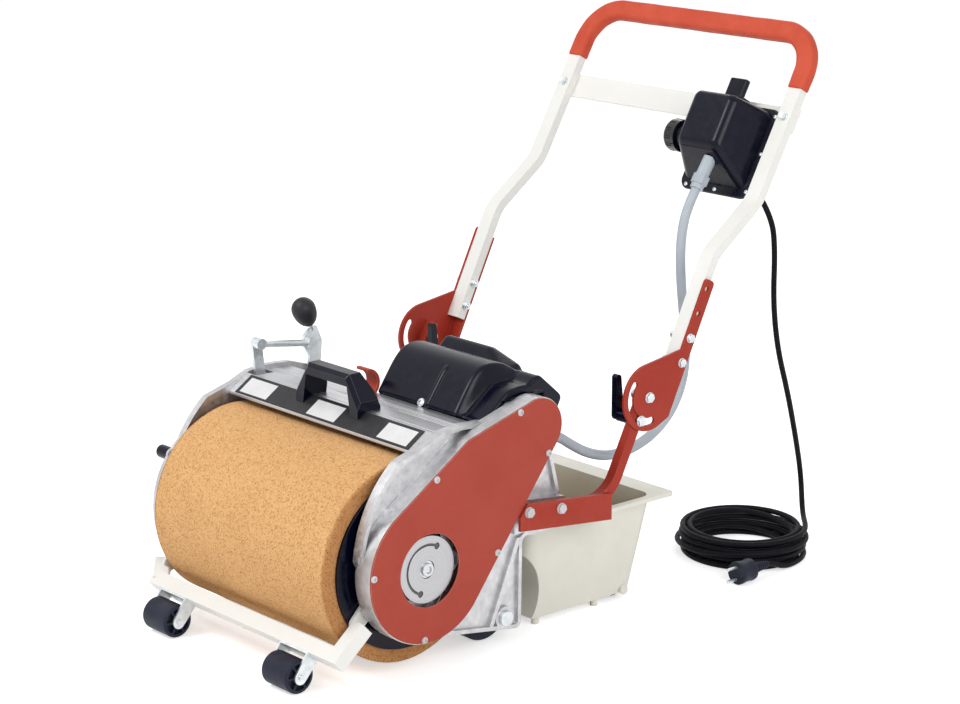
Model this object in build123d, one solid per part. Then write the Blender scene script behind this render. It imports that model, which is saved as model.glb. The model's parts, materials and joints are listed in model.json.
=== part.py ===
"""Sponge-roller floor washer: a driven sponge drum between two cast sides, wrung out by a
roller into a tub at the rear, with a folding handle and a swing-down caster frame in front.

Millimetres, +Z up, +Y to the rear, +X to the drive side. Every section below is drawn with y
measured from the drum axis; the finished pieces are then moved so that the origin lies on the
floor under the middle of the machine.
"""
from build123d import *
import math
import os

os.makedirs("parts", exist_ok=True)

# General clearances
RUN_FIT = 0.05
SEAT_GAP = 0.15
FACE_GAP = 0.3
SWING_GAP = 1.5

# Sponge drum
SPONGE_R = 145.0
SPONGE_L = 400.0
SPONGE_EDGE = 3.0
FLOOR_GAP = 15.0
CORE_R = 62.0
CORE_WALL = 5.0
FLANGE_R = 124.0
FLANGE_T = 5.0
SHAFT_R = 12.5
DRUM_Z = SPONGE_R + FLOOR_GAP
DRUM_END = SPONGE_L / 2
TOP_GAP = 13.0
FRAME_Z = DRUM_Z + SPONGE_R + TOP_GAP

# Side castings, drive case and cover
SIDE_GAP = 9.0
SIDE_T = 7.0
RIM_H = 5.0
RIM_W = 6.0
CASE_DEPTH = 29.0
CASE_WALL = 4.0
COVER_T = 2.0
COVER_INSET = 1.2
CASE_R = 104.5
PINION_Y = 200.0
PINION_UP = 6.0
PINION_Z = FRAME_Z + PINION_UP
PINION_LOBE_R = 44.0
SHOULDER_Y = 82.0
SHOULDER_DROP = 14.0
SHOULDER_Z = FRAME_Z - SHOULDER_DROP
SHOULDER_R = 30.0
WINDOW_R = 52.0
SIDE_IN = DRUM_END + FLANGE_T + SIDE_GAP
SIDE_OUT = SIDE_IN + SIDE_T
PAD_OUT = SIDE_OUT + RIM_H
ARM_PAD_RISE = 10.0
ARM_IN = PAD_OUT + ARM_PAD_RISE
CASE_OUT = SIDE_OUT + CASE_DEPTH
COVER_OUT = CASE_OUT + COVER_T
SCREW_INSET = 6.0
COVER_SCREWS = [0.07, 0.244, 0.404, 0.585, 0.749, 0.896]
SCREW_R = 2.4
SCREW_HEAD_R = 5.0
SCREW_HEAD_H = 2.5
SCREW_L = 14.0
BOSS_R = 5.5
BEARING_R = 26.0
LEFT_LOBE_R = 128.0
CASTING_ROUND = 10.0
CASTING_TOP = [(12.0, 11.0), (42.0, 24.0), (74.0, 28.0), (118.0, 26.0)]
FENDER_LOW = (-104.0, 26.0)
FENDER_MID = (-84.0, 94.0)
FENDER_TOP = (-35.0, -3.0)
CASTING_NOSE = (-60.0, -60.0)
CASTING_REAR = (40.0, -18.0)
CASTING_END = 264.0
FOOT_TOP_Y = 192.0
FOOT_REAR = 30.0
FOOT_LOW = 22.0
FOOT_FRONT = (62.0, 44.0)
FOOT_RIB_W = 8.0
FOOT_RIB_LEAN = 58.0
LIP_H = 10.0
LIP_UP = 36.0
LIP_END = 128.0
WEB_T = 4.0
WEB_H = 8.0
WEB_POINTS = [(-26.0, -46.0), (24.0, -10.0), (100.0, 18.0)]
SIGHT_HOLES = [(20.0, 3.0, 2.5), (29.0, 8.0, 3.5)]
CAP_R = 36.0
CAP_T = 14.0

# Belt drive
BELT_W = 8.0
BELT_T = 5.0
PULLEY_W = 12.0
PULLEY_LIP = 3.0
DRIVEN_R = 76.0
DRIVE_R = 26.0
DRIVE_SHAFT_R = 8.0
HUB_GAP = 4.0
HUB_GROOVE_R = 35.0
HUB_GROOVE_W = 3.0
HUB_GROOVE_D = 1.5
HUB_GROOVE_ENDS = (60.0, 250.0)

# Motor group
MOTOR_R = 58.0
MOTOR_L = 129.0
MOTOR_EDGE = 8.0
FIN_W = 3.0
FIN_D = 2.5
FIN_STEP = 40.0
GEARBOX_W = 73.0
GEARBOX_H = 70.0
GEARBOX_L = 72.0
GEARBOX_X0 = SIDE_IN - GEARBOX_W
MOTOR_X0 = GEARBOX_X0 - MOTOR_L
HOOD_W = 218.0
HOOD_LOW_W = 44.0
HOOD_X0 = SIDE_IN - HOOD_W
HOOD_STEP_X = SIDE_IN - HOOD_LOW_W
HOOD_WALL = 3.0
HOOD_BACK = 77.0
HOOD_SKIRT = 78.0
HOOD_REAR_Y = PINION_Y + HOOD_BACK
HOOD_REAR_Z = PINION_Z - HOOD_SKIRT
HOOD_TALL = [(-42.0, 72.0), (-14.0, 79.0), (14.0, 72.0), (50.0, 44.0)]
HOOD_LOW = [(-22.0, 52.0), (6.0, 60.0), (36.0, 56.0), (60.0, 36.0)]
HOOD_LOW_FRONT = 16.0
HOOD_SHOULDER = 18.0
HOOD_ROUND = 40.0
CREST = [(14.0, 60.0), (24.0, 80.0), (58.0, 78.0), (HOOD_BACK, 44.0), (HOOD_BACK, -24.0), (40.0, -24.0)]
CREST_X = 8.0
CREST_L = 100.0
CREST_RAMP = 58.0
CREST_DROP = 28.0
CREST_ROUND = 6.0
HOOD_RIB_X = 98.0
HOOD_RIB_W = 8.0
HOOD_RIB_H = 2.5
HOOD_RIB_RUN = 56.0

# Top profile and its fittings
PROFILE_FRONT_Y = 4.0
PROFILE_FRONT_Z = FRAME_Z
PROFILE_BEND_Y = 37.0
PROFILE_RISE = 22.0
PROFILE_BEND_Z = PROFILE_FRONT_Z + PROFILE_RISE
PROFILE_REAR_Y = 116.0
PROFILE_FALL = 2.0
PROFILE_REAR_Z = PROFILE_BEND_Z - PROFILE_FALL
PROFILE_T = 4.0
PROFILE_LEG = 8.0
GROOVE_W = 2.0
GROOVE_D = 1.0
GROOVE_YS = [44.0, 76.0, 81.0, 86.0, 91.0]
STRIP_T = 1.0
STRIP_END_GAP = 14.0
STRIP_EDGE = 1.2
STRIP_L = 2 * (SIDE_IN - STRIP_END_GAP)
BRIDGE_W = 142.0
BRIDGE_H = 51.0
BRIDGE_KNEE = 14.0
BRIDGE_EDGE = 6.0
BRIDGE_DEPTH = 42.0
BRIDGE_TOP_DEPTH = 25.0
BRIDGE_FRONT_Y = 20.0
BRIDGE_BAR = 17.0
BRIDGE_LEG = 14.0
BRIDGE_SLANT = 24.0
HOOK_R = 22.0
HOOK_T = 5.0
HOOK_W = 26.0
HOOK_X = -17.0
HOOK_FOOT = 22.0
HOOK_FOOT_T = 4.0
HOOK_LEAN = 50.0
HOOK_END = 85.0

# Wringer
WRINGER_R = 20.0
WRINGER_GAP = 1.0
WRINGER_ANGLE = 49.0
WRINGER_PIN_R = 6.0
WRING_PIVOT_Y = 59.0
WRING_PIVOT_UP = 4.0
WRING_PIVOT_Z = FRAME_Z + WRING_PIVOT_UP
WRING_ARM_T = 6.0
WRING_ARM_W = 18.0
LINK_DY = 95.0
LINK_DZ = -14.0
LUG_DY = -7.0
LUG_DZ = 62.0
LINK_R = 5.2
LINK_EYE_R = 8.5
LINK_EYE_W = 12.0
LINK_PIN_R = 4.0
LUG_SLOT_FRONT = 21.0
LUG_SLOT_REAR = 13.0
LEVER_BLADE = [
    (-9.0, -9.0), (9.0, -9.0), (17.0, 36.0), (19.0, 62.0), (9.0, 86.0), (-3.0, 82.0), (-15.0, 72.0),
    (-15.0, 56.0), (-4.0, 40.0),
]
LEVER_ROUND = 3.0
LEVER_NECK = (3.0, 79.0)
STEM_R = 4.0
STEM_L = 14.0
STEM_BARE = 9.0
STEM_LEAN = 24.8
KNOB_R = 18.5
KNOB_H = 47.0

# Rear axle, chute and tie bar
AXLE_Y = 160.0
AXLE_Z = 46.0
AXLE_R = 8.0
AXLE_HEAD_R = 11.0
AXLE_HEAD_T = 5.0
WHEEL_W = 28.0
WHEEL_INSET = 46.0
WHEEL_X = SIDE_IN - WHEEL_INSET
CHUTE_T = 2.0
CHUTE_GAP = 20.2
CHUTE_ANGLE = 38.1
CHUTE_RUN = [(0.0, 0.0), (76.0, -42.0), (132.0, -72.0)]
TIE_Y = 226.0
TIE_DROP = 72.0
TIE_Z = FRAME_Z - TIE_DROP
TIE_R = 10.0

# Front caster frame
BAR_S = 22.0
BAR_CLEAR = 25.5
BAR_Z = 57.0
BAR_Y = -math.sqrt((SPONGE_R + BAR_CLEAR) ** 2 - (DRUM_Z - BAR_Z) ** 2)
BAR_SHORT = 21.0
BAR_LEFT = -(SIDE_OUT - BAR_SHORT)
BAR_RIGHT = SIDE_OUT
CASTER_PIVOT_Y = -72.0
CASTER_PIVOT_DROP = 44.0
CASTER_PIVOT_Z = DRUM_Z - CASTER_PIVOT_DROP
CASTER_PIN_R = 6.0
CASTER_PLATE_T = 6.0
CASTER_STOP_RIGHT = 32.0
CASTER_STOP_LEFT = 58.0
CASTER_R = 24.0
CASTER_W = 56.0
CASTER_INSET = 70.0
CASTER_X = SIDE_IN - CASTER_INSET
CASTER_LEAD = 29.0
CASTER_Y = BAR_Y - CASTER_LEAD
CASTER_EDGE = 3.0
DISH_D = 7.0
DISH_RIM = 5.0
SPOKE_W = 3.0
FORK_T = 3.0
FORK_EAR_W = 20.0

# Arms that carry the handle
ARM_W = 15.0
ARM_D = 16.0
ARM_PITCH = 6.2
ARM_LEAN = 27.0
ARM_START_Y = 166.0
ARM_START_Z = 207.6
ARM_BEND_R = 55.0
ARM_PLATE_T = 5.0
ARM_PLATE_Y0 = 162.0
ARM_PLATE_UP = 12.5
ARM_PLATE_LOW = 27.0
PIVOT_Y = 411.0
PIVOT_Z = 331.0
PIVOT_R = 6.0
SLOT_R = 36.0
ARM_TOP = 22.0
ARM_BOLT_YS = [178.0, 239.0]
ARM_PAD_FRONT = 168.0
ARM_PAD_H = 12.0
ARM_PAD_LOW = 10.0

# Handle
TUBE_W = 25.0
TUBE_D = 15.0
TUBE_WALL = 2.0
HANDLE_END = (467.0, 352.0)
HANDLE_BEND_1 = (549.0, 520.0)
HANDLE_BEND_2 = (640.0, 588.0)
HANDLE_LEAN = 29.5
HANDLE_BEND_R = 60.0
GRIP_START = 176.0
BOW_H = 92.0
BOW_R = 62.0
GRIP_WALL = 3.5
GRIP_ROUND = 7.0
CROSS_T = 4.0
CROSS_H = 38.0
CROSS_AT = 134.0
QUAD_T = 4.0
QUAD_R = 50.0
QUAD_STRIP_W = 20.0
QUAD_STRIP_TOP = 150.0
QUAD_FLANGE_T = 4.0
QUAD_FLANGE_W = 25.0
QUAD_FLANGE_END = 10.0
QUAD_WEB_LOW = -58.0
QUAD_WEB_HIGH = 40.0
SLOT_W = 11.0
FOLD_FORWARD = 100.0
FOLD_BACK = 35.0
BOLT_HEAD_R = 8.0
BOLT_HEAD_H = 5.0
BOLT_R = 4.0
STRIP_BOLTS = [22.0, 60.0]
STRIP_HOLES = [98.0, 136.0]
CLAMP_HUB_R = 9.0
CLAMP_HUB_L = 25.0
CLAMP_LEVER_L = 56.0

# Switch box, in the plane of the upper handle leg
LID_W = 144.0
LID_SIDE_GAP = 5.0
LID_S0 = 0.0
LID_S1 = 146.0
LID_T = 4.0
LID_ROUND = 18.0
BOX_INSET = 6.0
BOX_FLANGE = 14.0
BOX_DEPTH = 66.0
BOX_SLOPE = (23.0, 40.0, 54.0, 7.0)
TAB_X = 64.0
TAB_W = 34.0
TAB_L = 46.0
TAB_T = 8.0
TAB_LEVEL = 20.0
TAB_OUT = 14.0
SWITCH_R = 25.0
SWITCH_T = 22.0
SWITCH_S = 72.0
SWITCH_W = 26.0

# Conduit from the switch box to the motor
CONDUIT_R = 7.5
GLAND_R = 13.0
GLAND_L = 52.0
CONDUIT_POINTS = [
    (158.0, 600.0, 600.0), (157.0, 583.0, 573.0), (157.0, 573.0, 541.0), (159.0, 568.0, 505.0),
    (164.0, 566.0, 460.0), (169.0, 568.0, 412.0), (173.0, 570.0, 362.0), (175.0, 563.0, 314.0),
    (175.0, 541.0, 272.0), (175.0, 503.0, 244.0), (175.0, 456.0, 230.0), (175.0, 410.0, 229.0),
    (175.0, 371.0, 241.0), (175.0, 329.0, 264.0), (175.0, 277.0, 264.0),
]

# Power cord: hanging length, coil on the floor and plug
CORD_R = 4.4
CORD_GLAND_R = 9.0
CORD_GLAND_L = 30.0
DROP_POINTS = [
    (204.0, 694.0, 578.0), (204.0, 712.0, 546.0), (204.0, 717.0, 496.0), (202.0, 717.0, 418.0),
    (197.0, 728.0, 340.0), (184.0, 770.0, 260.0), (162.0, 828.0, 168.0), (146.0, 869.0, 96.0),
]
COIL_X = 150.0
COIL_Y = 728.0
COIL_R = 98.0
COIL_PITCH = 11.0
COIL_LAYER = 12.0
COIL_START_ANGLE = 45.0
COIL_FLAT_TURNS = [1.625, 2.0, 2.0, 2.0]
COIL_CLIMB_TURNS = 0.5
COIL_STEPS_PER_TURN = 4
DROP_LEAD = 56.0
TAIL_L = 44.0
PLUG_R = 18.0
PLUG_L = 36.0
PLUG_BOOT_L = 34.0
PLUG_PIN_R = 2.4
PLUG_PIN_L = 19.0
PLUG_PIN_SPACING = 19.0

# Tub
TUB_RIM_LAP = 2.0
TUB_RIM_X = SIDE_IN + TUB_RIM_LAP
TUB_RIM_Y0 = 212.0
TUB_RIM_Y1 = 508.0
TUB_RIM_REAR = 32.0
TUB_RIM_ROUND = 8.0
TUB_TOP_Z = 160.0
TUB_RIM_T = 6.0
TUB_RIM_OUT = 8.0
TUB_FLARE = 31.0
TUB_BASE_X = TUB_RIM_X - TUB_FLARE
TUB_BASE_Y0 = 236.0
TUB_BASE_Y1 = 455.0
TUB_BASE_Z = 11.0
TUB_WALL = 4.0
TUB_ROUND = 24.0
TUB_STEP_Y = 400.0
TUB_STEP_Z = 44.0
TUB_ARCH_R = 96.0
TUB_ARCH_GAP = 26.0
TUB_ARCH_X = WHEEL_X - WHEEL_W / 2 - TUB_ARCH_GAP
TUB_FOOT_R = 5.5
TUB_FOOT_INSET = 8.0
TUB_FOOT_X = TUB_BASE_X - TUB_FOOT_INSET
TUB_FOOT_YS = [262.0, 380.0]
TUB_WHEEL_R = 16.0
TUB_WHEEL_W = 18.0
TUB_WHEEL_INSET = 26.0
TUB_WHEEL_X = TUB_BASE_X - TUB_WHEEL_INSET
TUB_AXLE_R = 4.0
TUB_AXLE_Y = 430.0
TUB_CAP_R = 7.0
TUB_CAP_T = 3.0
TUB_CAP_GAP = 2.4

# Release knob on the left casting
RELEASE_Y = -93.0
RELEASE_UP = 76.0
RELEASE_Z = DRUM_Z + RELEASE_UP
RELEASE_R = 10.0
RELEASE_L = 28.0
RELEASE_PIN_R = 5.0

# Places worked out from the sizes above
HANDLE_X = ARM_IN + ARM_W + FACE_GAP - TUBE_W / 2
LID_X1 = HANDLE_X - TUBE_W / 2 - LID_SIDE_GAP
LID_X0 = LID_X1 - LID_W
QUAD_IN = HANDLE_X + TUBE_W / 2
QUAD_OUT = QUAD_IN + QUAD_T
LEG_UP = Vector(0, HANDLE_BEND_1[0] - HANDLE_END[0], HANDLE_BEND_1[1] - HANDLE_END[1]).normalized()
UPPER_UP = Vector(0, math.sin(math.radians(HANDLE_LEAN)), math.cos(math.radians(HANDLE_LEAN)))
BOW_Y = HANDLE_BEND_2[0] + (GRIP_START + BOW_H) * UPPER_UP.Y
REAR_Y = BOW_Y + (TUBE_D / 2 + GRIP_WALL) * UPPER_UP.Z + (TUBE_W / 2 + GRIP_WALL) * UPPER_UP.Y
FRONT_Y = CASTER_Y - CASTER_R
SHIFT = Pos(0, -(REAR_Y + FRONT_Y) / 2, 0)
WRINGER_DIST = SPONGE_R + WRINGER_R + WRINGER_GAP
WRINGER_Y = WRINGER_DIST * math.cos(math.radians(WRINGER_ANGLE))
WRINGER_Z = DRUM_Z + WRINGER_DIST * math.sin(math.radians(WRINGER_ANGLE))
ARM_DOWN = Vector(0, -math.sin(math.radians(ARM_LEAN)), -math.cos(math.radians(ARM_LEAN)))
CLAMP_Y = PIVOT_Y + SLOT_R * ARM_DOWN.Y
CLAMP_Z = PIVOT_Z + SLOT_R * ARM_DOWN.Z


def side(x0, x1, sketch):
    """A sketch drawn in (y, z), made solid from x0 to x1."""
    return extrude(Plane.YZ.offset(x0) * sketch, x1 - x0)


def rod(x0, x1, y, z, radius):
    """A round bar along X."""
    return side(x0, x1, Pos(y, z) * Circle(radius))


def ring(x0, x1, y, z, outer, inner):
    """A round tube along X."""
    return side(x0, x1, Pos(y, z) * (Circle(outer) - Circle(inner)))


def outline(points, radius=0.0):
    """A closed outline through points, with its corners rounded."""
    shape = make_face(Polyline(*points, close=True))
    if radius:
        shape = fillet(shape.vertices(), radius)
    return shape


def hull(*circles):
    """The outline of a band pulled tight round circles given as (y, z, radius)."""
    return make_hull([Pos(y, z) * edge for y, z, r in circles for edge in Circle(r).edges()])


def bar_between(start, end, width, depth):
    """A square bar from one point to another, its width level."""
    start = Vector(*start)
    end = Vector(*end)
    run = end - start
    plane = Plane(origin=start, x_dir=run.cross(Vector(0, 0, 1)), z_dir=run)
    return extrude(plane * Rectangle(width, depth), run.length)


def mirrored(shape):
    """The same piece on the other side of the machine."""
    return mirror(shape, Plane.YZ)


def emit(name, shape):
    """Move a piece to the machine's own origin and write it."""
    solids = (SHIFT * shape).solids()
    export_step(solids[0] if len(solids) == 1 else Compound(children=solids), f"parts/{name}.step")


def drum():
    """Sponge sleeve on its core, with end flanges and the shaft."""
    sponge = rod(-DRUM_END, DRUM_END, 0, DRUM_Z, SPONGE_R)
    sponge = chamfer(sponge.edges().filter_by(GeomType.CIRCLE), SPONGE_EDGE)
    sponge -= rod(-DRUM_END, DRUM_END, 0, DRUM_Z, CORE_R + SEAT_GAP)
    emit("sponge_sleeve", sponge)

    core = ring(-DRUM_END, DRUM_END, 0, DRUM_Z, CORE_R, SHAFT_R)
    inside = DRUM_END - 2 * CORE_WALL
    core -= ring(-inside, inside, 0, DRUM_Z, CORE_R - CORE_WALL, SHAFT_R + CORE_WALL)
    emit("roller_core", core)

    flange = ring(DRUM_END, DRUM_END + FLANGE_T, 0, DRUM_Z, FLANGE_R, SHAFT_R)
    emit("roller_flanges", Compound(children=[flange, mirrored(flange)]))

    shaft_end = CASE_OUT - HUB_GAP - HUB_GROOVE_D
    emit("roller_shaft", rod(-SIDE_OUT - CAP_T / 2, shaft_end, 0, DRUM_Z, SHAFT_R))


def drive_outline(grow=0.0):
    """Outline of the drive case in (y, z)."""
    return hull(
        (0, DRUM_Z, CASE_R + grow),
        (SHOULDER_Y, SHOULDER_Z, SHOULDER_R + grow),
        (PINION_Y, PINION_Z, PINION_LOBE_R + grow),
    )


def castings():
    """The two cast sides, with a raised rim, an arm pad and a foot for the axle."""
    pad_low = TUB_TOP_Z + FACE_GAP
    foot_low = AXLE_Z - FOOT_LOW
    fender_low = (FENDER_LOW[0], DRUM_Z + FENDER_LOW[1])
    fender_top = (FENDER_TOP[0], FRAME_Z + FENDER_TOP[1])
    fender = ThreePointArc(fender_low, (FENDER_MID[0], DRUM_Z + FENDER_MID[1]), fender_top)
    points = [fender_top] + [(y, FRAME_Z + up) for y, up in CASTING_TOP]
    points += [
        (PINION_Y + CASTING_REAR[0], PINION_Z + CASTING_REAR[1]),
        (CASTING_END, arm_axis_z(CASTING_END) + ARM_PAD_H), (CASTING_END, pad_low), (FOOT_TOP_Y, pad_low),
        (AXLE_Y + FOOT_REAR, foot_low), FOOT_FRONT, (CASTING_NOSE[0], DRUM_Z + CASTING_NOSE[1]), fender_low,
    ]
    body = make_face(fender + Polyline(*points))
    body = fillet(body.vertices(), CASTING_ROUND)
    right = body + Pos(0, DRUM_Z) * Circle(CASE_R - CASE_WALL)
    right += Pos(PINION_Y, PINION_Z) * Circle(PINION_LOBE_R - CASE_WALL)
    left = body + Pos(0, DRUM_Z) * Circle(LEFT_LOBE_R)
    inner = offset(body, -RIM_W)
    right_inner = inner + Pos(0, DRUM_Z) * Circle(CASE_R - CASE_WALL - RIM_W)
    right_inner += Pos(PINION_Y, PINION_Z) * Circle(PINION_LOBE_R - CASE_WALL - RIM_W)
    left_inner = inner + Pos(0, DRUM_Z) * Circle(LEFT_LOBE_R - RIM_W)
    rib_top = AXLE_Y + FOOT_REAR
    rib_low = rib_top - FOOT_RIB_LEAN
    rib = outline([
        (rib_top, pad_low), (rib_top - FOOT_RIB_W, pad_low), (rib_low - FOOT_RIB_W, foot_low),
        (rib_low, foot_low),
    ])
    pad = outline([
        (ARM_PAD_FRONT, arm_axis_z(ARM_PAD_FRONT) + ARM_PAD_H),
        (CASTING_END, arm_axis_z(CASTING_END) + ARM_PAD_H),
        (CASTING_END, pad_low + ARM_PAD_LOW), (ARM_PAD_FRONT, pad_low + ARM_PAD_LOW),
    ], WEB_T / 2)
    lip_low = DRUM_Z + LIP_UP
    lip = outline([
        (FENDER_LOW[0] - RIM_W, lip_low), (LIP_END, lip_low), (LIP_END, PINION_Z + PINION_LOBE_R),
        (FENDER_LOW[0] - RIM_W, PINION_Z + PINION_LOBE_R),
    ])
    web = trace(Spline([(y, FRAME_Z + up) for y, up in WEB_POINTS]), WEB_T)
    clear_of_case = drive_outline(FACE_GAP)

    plate = side(SIDE_IN, SIDE_OUT, right)
    rim = right - right_inner + (rib & right)
    rim += Pos(AXLE_Y, AXLE_Z) * Circle(AXLE_HEAD_R + RIM_W)
    plate += side(SIDE_OUT, PAD_OUT, rim - clear_of_case)
    plate += side(SIDE_OUT, ARM_IN, pad - clear_of_case)
    plate += side(SIDE_OUT, SIDE_OUT + LIP_H, (right - right_inner & lip) - clear_of_case)
    plate += side(SIDE_OUT, SIDE_OUT + WEB_H, (web & right) - clear_of_case)
    for y, up, radius in SIGHT_HOLES:
        plate -= rod(SIDE_IN, SIDE_OUT + LIP_H, y, FRAME_Z + up, radius)
    plate -= rod(SIDE_IN, SIDE_OUT, 0, DRUM_Z, BEARING_R)
    plate -= rod(SIDE_IN, PAD_OUT, AXLE_Y, AXLE_Z, AXLE_R)
    plate -= rod(SIDE_IN, PAD_OUT, PINION_Y, PINION_Z, DRIVE_SHAFT_R + 6)
    plate -= rod(SIDE_IN, PAD_OUT, WRING_PIVOT_Y, WRING_PIVOT_Z, WRINGER_PIN_R + RUN_FIT)
    plate -= rod(SIDE_IN, SIDE_OUT, CASTER_PIVOT_Y, CASTER_PIVOT_Z, CASTER_PIN_R)
    for y in ARM_BOLT_YS:
        plate -= rod(SIDE_IN, ARM_IN, y, arm_axis_z(y), BOLT_R)
    emit("side_casting_right", plate)

    plate = side(SIDE_IN, SIDE_OUT, left)
    rim = left - left_inner + (rib & left)
    rim += Pos(AXLE_Y, AXLE_Z) * Circle(AXLE_HEAD_R + RIM_W)
    plate += side(SIDE_OUT, PAD_OUT, rim) + side(SIDE_OUT, ARM_IN, pad)
    plate += rod(SIDE_OUT, PAD_OUT, RELEASE_Y, RELEASE_Z, RELEASE_R)
    plate -= rod(SIDE_IN, SIDE_OUT, 0, DRUM_Z, BEARING_R)
    plate -= rod(SIDE_IN, PAD_OUT, AXLE_Y, AXLE_Z, AXLE_R)
    plate -= rod(SIDE_IN, PAD_OUT, WRING_PIVOT_Y, WRING_PIVOT_Z, WRINGER_PIN_R + RUN_FIT)
    plate -= rod(SIDE_IN, PAD_OUT, lever_pivot()[0], lever_pivot()[1], WRINGER_PIN_R + RUN_FIT)
    plate -= rod(SIDE_IN, SIDE_OUT, CASTER_PIVOT_Y, CASTER_PIVOT_Z, CASTER_PIN_R)
    plate -= rod(SIDE_IN, PAD_OUT, RELEASE_Y, RELEASE_Z, RELEASE_PIN_R + RUN_FIT)
    for y in ARM_BOLT_YS:
        plate -= rod(SIDE_IN, ARM_IN, y, arm_axis_z(y), BOLT_R)
    emit("side_casting_left", mirrored(plate))

    bearing = ring(SIDE_IN, SIDE_OUT, 0, DRUM_Z, BEARING_R, SHAFT_R + RUN_FIT)
    emit("roller_bearings", Compound(children=[bearing, mirrored(bearing)]))

    cap = rod(SIDE_OUT, SIDE_OUT + CAP_T, 0, DRUM_Z, CAP_R)
    cap = fillet(cap.faces().sort_by(Axis.X)[-1].edges(), 4)
    cap -= rod(SIDE_OUT, SIDE_OUT + CAP_T / 2 + FACE_GAP, 0, DRUM_Z, SHAFT_R + SWING_GAP)
    emit("left_bearing_cap", mirrored(cap))


def drive_case():
    """Cast case on the right side, its red cover and the cover screws."""
    shape = drive_outline()
    screw_line = offset(shape, -SCREW_INSET).wire()
    spots = [screw_line @ share for share in COVER_SCREWS]
    case = side(SIDE_OUT, CASE_OUT, shape)
    hollow = side(SIDE_OUT + CASE_WALL, CASE_OUT, offset(shape, -CASE_WALL))
    for spot in spots:
        hollow -= rod(SIDE_OUT, CASE_OUT, spot.X, spot.Y, BOSS_R)
    case -= hollow
    case -= rod(SIDE_OUT, SIDE_OUT + CASE_WALL, 0, DRUM_Z, SHAFT_R + 6)
    case -= rod(SIDE_OUT, SIDE_OUT + CASE_WALL, PINION_Y, PINION_Z, DRIVE_SHAFT_R + 6)
    cover = side(CASE_OUT, COVER_OUT, offset(shape, -COVER_INSET) - Pos(0, DRUM_Z) * Circle(WINDOW_R))
    screws = []
    for spot in spots:
        y, z = spot.X, spot.Y
        case -= rod(COVER_OUT - SCREW_L, CASE_OUT, y, z, SCREW_R)
        cover -= rod(CASE_OUT, COVER_OUT, y, z, SCREW_R)
        head = rod(COVER_OUT, COVER_OUT + SCREW_HEAD_H, y, z, SCREW_HEAD_R)
        head = chamfer(head.faces().sort_by(Axis.X)[-1].edges(), SCREW_HEAD_H / 2)
        screws.append(head + rod(COVER_OUT - SCREW_L, COVER_OUT, y, z, SCREW_R))
    emit("drive_case", case)
    emit("drive_cover", cover)
    emit("cover_screws", Compound(children=screws))


def belt_drive():
    """Grooved pulleys, the belt between them and the hub behind the cover's window."""
    x0 = SIDE_OUT + CASE_WALL + 1
    x1 = x0 + PULLEY_W
    mid = (x0 + x1) / 2
    slot = (BELT_W + 2 * FACE_GAP) / 2
    half = BELT_T / 2

    def pulley(y, z, pitch_r, bore):
        lip_r = pitch_r + half + PULLEY_LIP
        wheel = ring(x0, x1, y, z, lip_r, bore)
        return wheel - ring(mid - slot, mid + slot, y, z, lip_r, pitch_r - half - FACE_GAP)

    driven = pulley(0, DRUM_Z, DRIVEN_R, SHAFT_R)
    for turn in range(5):
        angle = math.radians(72 * turn)
        reach = (SHAFT_R + DRIVEN_R) / 2
        driven -= rod(x0, x1, reach * math.cos(angle), DRUM_Z + reach * math.sin(angle), reach / 2.6)
    emit("driven_pulley", driven)

    drive = pulley(PINION_Y, PINION_Z, DRIVE_R, 0.5)
    drive += rod(x0 - PULLEY_W - SIDE_T - 2 * CASE_WALL, x1, PINION_Y, PINION_Z, DRIVE_SHAFT_R)
    emit("drive_pulley", drive)

    outer = hull((0, DRUM_Z, DRIVEN_R + half), (PINION_Y, PINION_Z, DRIVE_R + half))
    inner = hull((0, DRUM_Z, DRIVEN_R - half), (PINION_Y, PINION_Z, DRIVE_R - half))
    emit("drive_belt", side(mid - BELT_W / 2, mid + BELT_W / 2, outer - inner))

    face = CASE_OUT - HUB_GAP
    hub = ring(x1, face, 0, DRUM_Z, WINDOW_R - HUB_GAP, SHAFT_R)
    groove = Pos(0, DRUM_Z) * arc_band(HUB_GROOVE_R, HUB_GROOVE_W, *HUB_GROOVE_ENDS)
    groove = side(face - HUB_GROOVE_D, face, groove)
    for angle in HUB_GROOVE_ENDS:
        y = HUB_GROOVE_R * math.cos(math.radians(angle))
        z = HUB_GROOVE_R * math.sin(math.radians(angle))
        groove += rod(face - HUB_GROOVE_D, face, y, DRUM_Z + z, HUB_GROOVE_W * 1.5)
    emit("drive_hub", hub - groove)


def arc_band(radius, width, start, end):
    """A band of the given width along an arc about the origin, with round ends."""
    middle = CenterArc((0, 0), radius, start, end - start)
    band = Circle(radius + width / 2) - Circle(radius - width / 2)
    reach = 3 * radius
    steps = [start + (end - start) * i / 6 for i in range(7)]
    fan = [(0, 0)] + [(reach * math.cos(math.radians(a)), reach * math.sin(math.radians(a))) for a in steps]
    band &= outline(fan)
    for at in (0, 1):
        spot = middle @ at
        band += Pos(spot.X, spot.Y) * Circle(width / 2)
    return band


def profile_section():
    """Cross-section of the aluminium top profile, in (y, z)."""
    top = [
        (PROFILE_FRONT_Y, PROFILE_FRONT_Z),
        (PROFILE_BEND_Y, PROFILE_BEND_Z),
        (PROFILE_REAR_Y, PROFILE_REAR_Z),
    ]
    low = [
        (PROFILE_REAR_Y, PROFILE_REAR_Z - PROFILE_T - PROFILE_LEG),
        (PROFILE_REAR_Y - PROFILE_T, PROFILE_REAR_Z - PROFILE_T - PROFILE_LEG),
        (PROFILE_REAR_Y - PROFILE_T, PROFILE_REAR_Z - PROFILE_T),
        (PROFILE_BEND_Y, PROFILE_BEND_Z - PROFILE_T), (PROFILE_FRONT_Y, PROFILE_FRONT_Z - PROFILE_T),
    ]
    return outline(top + low)


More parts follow.
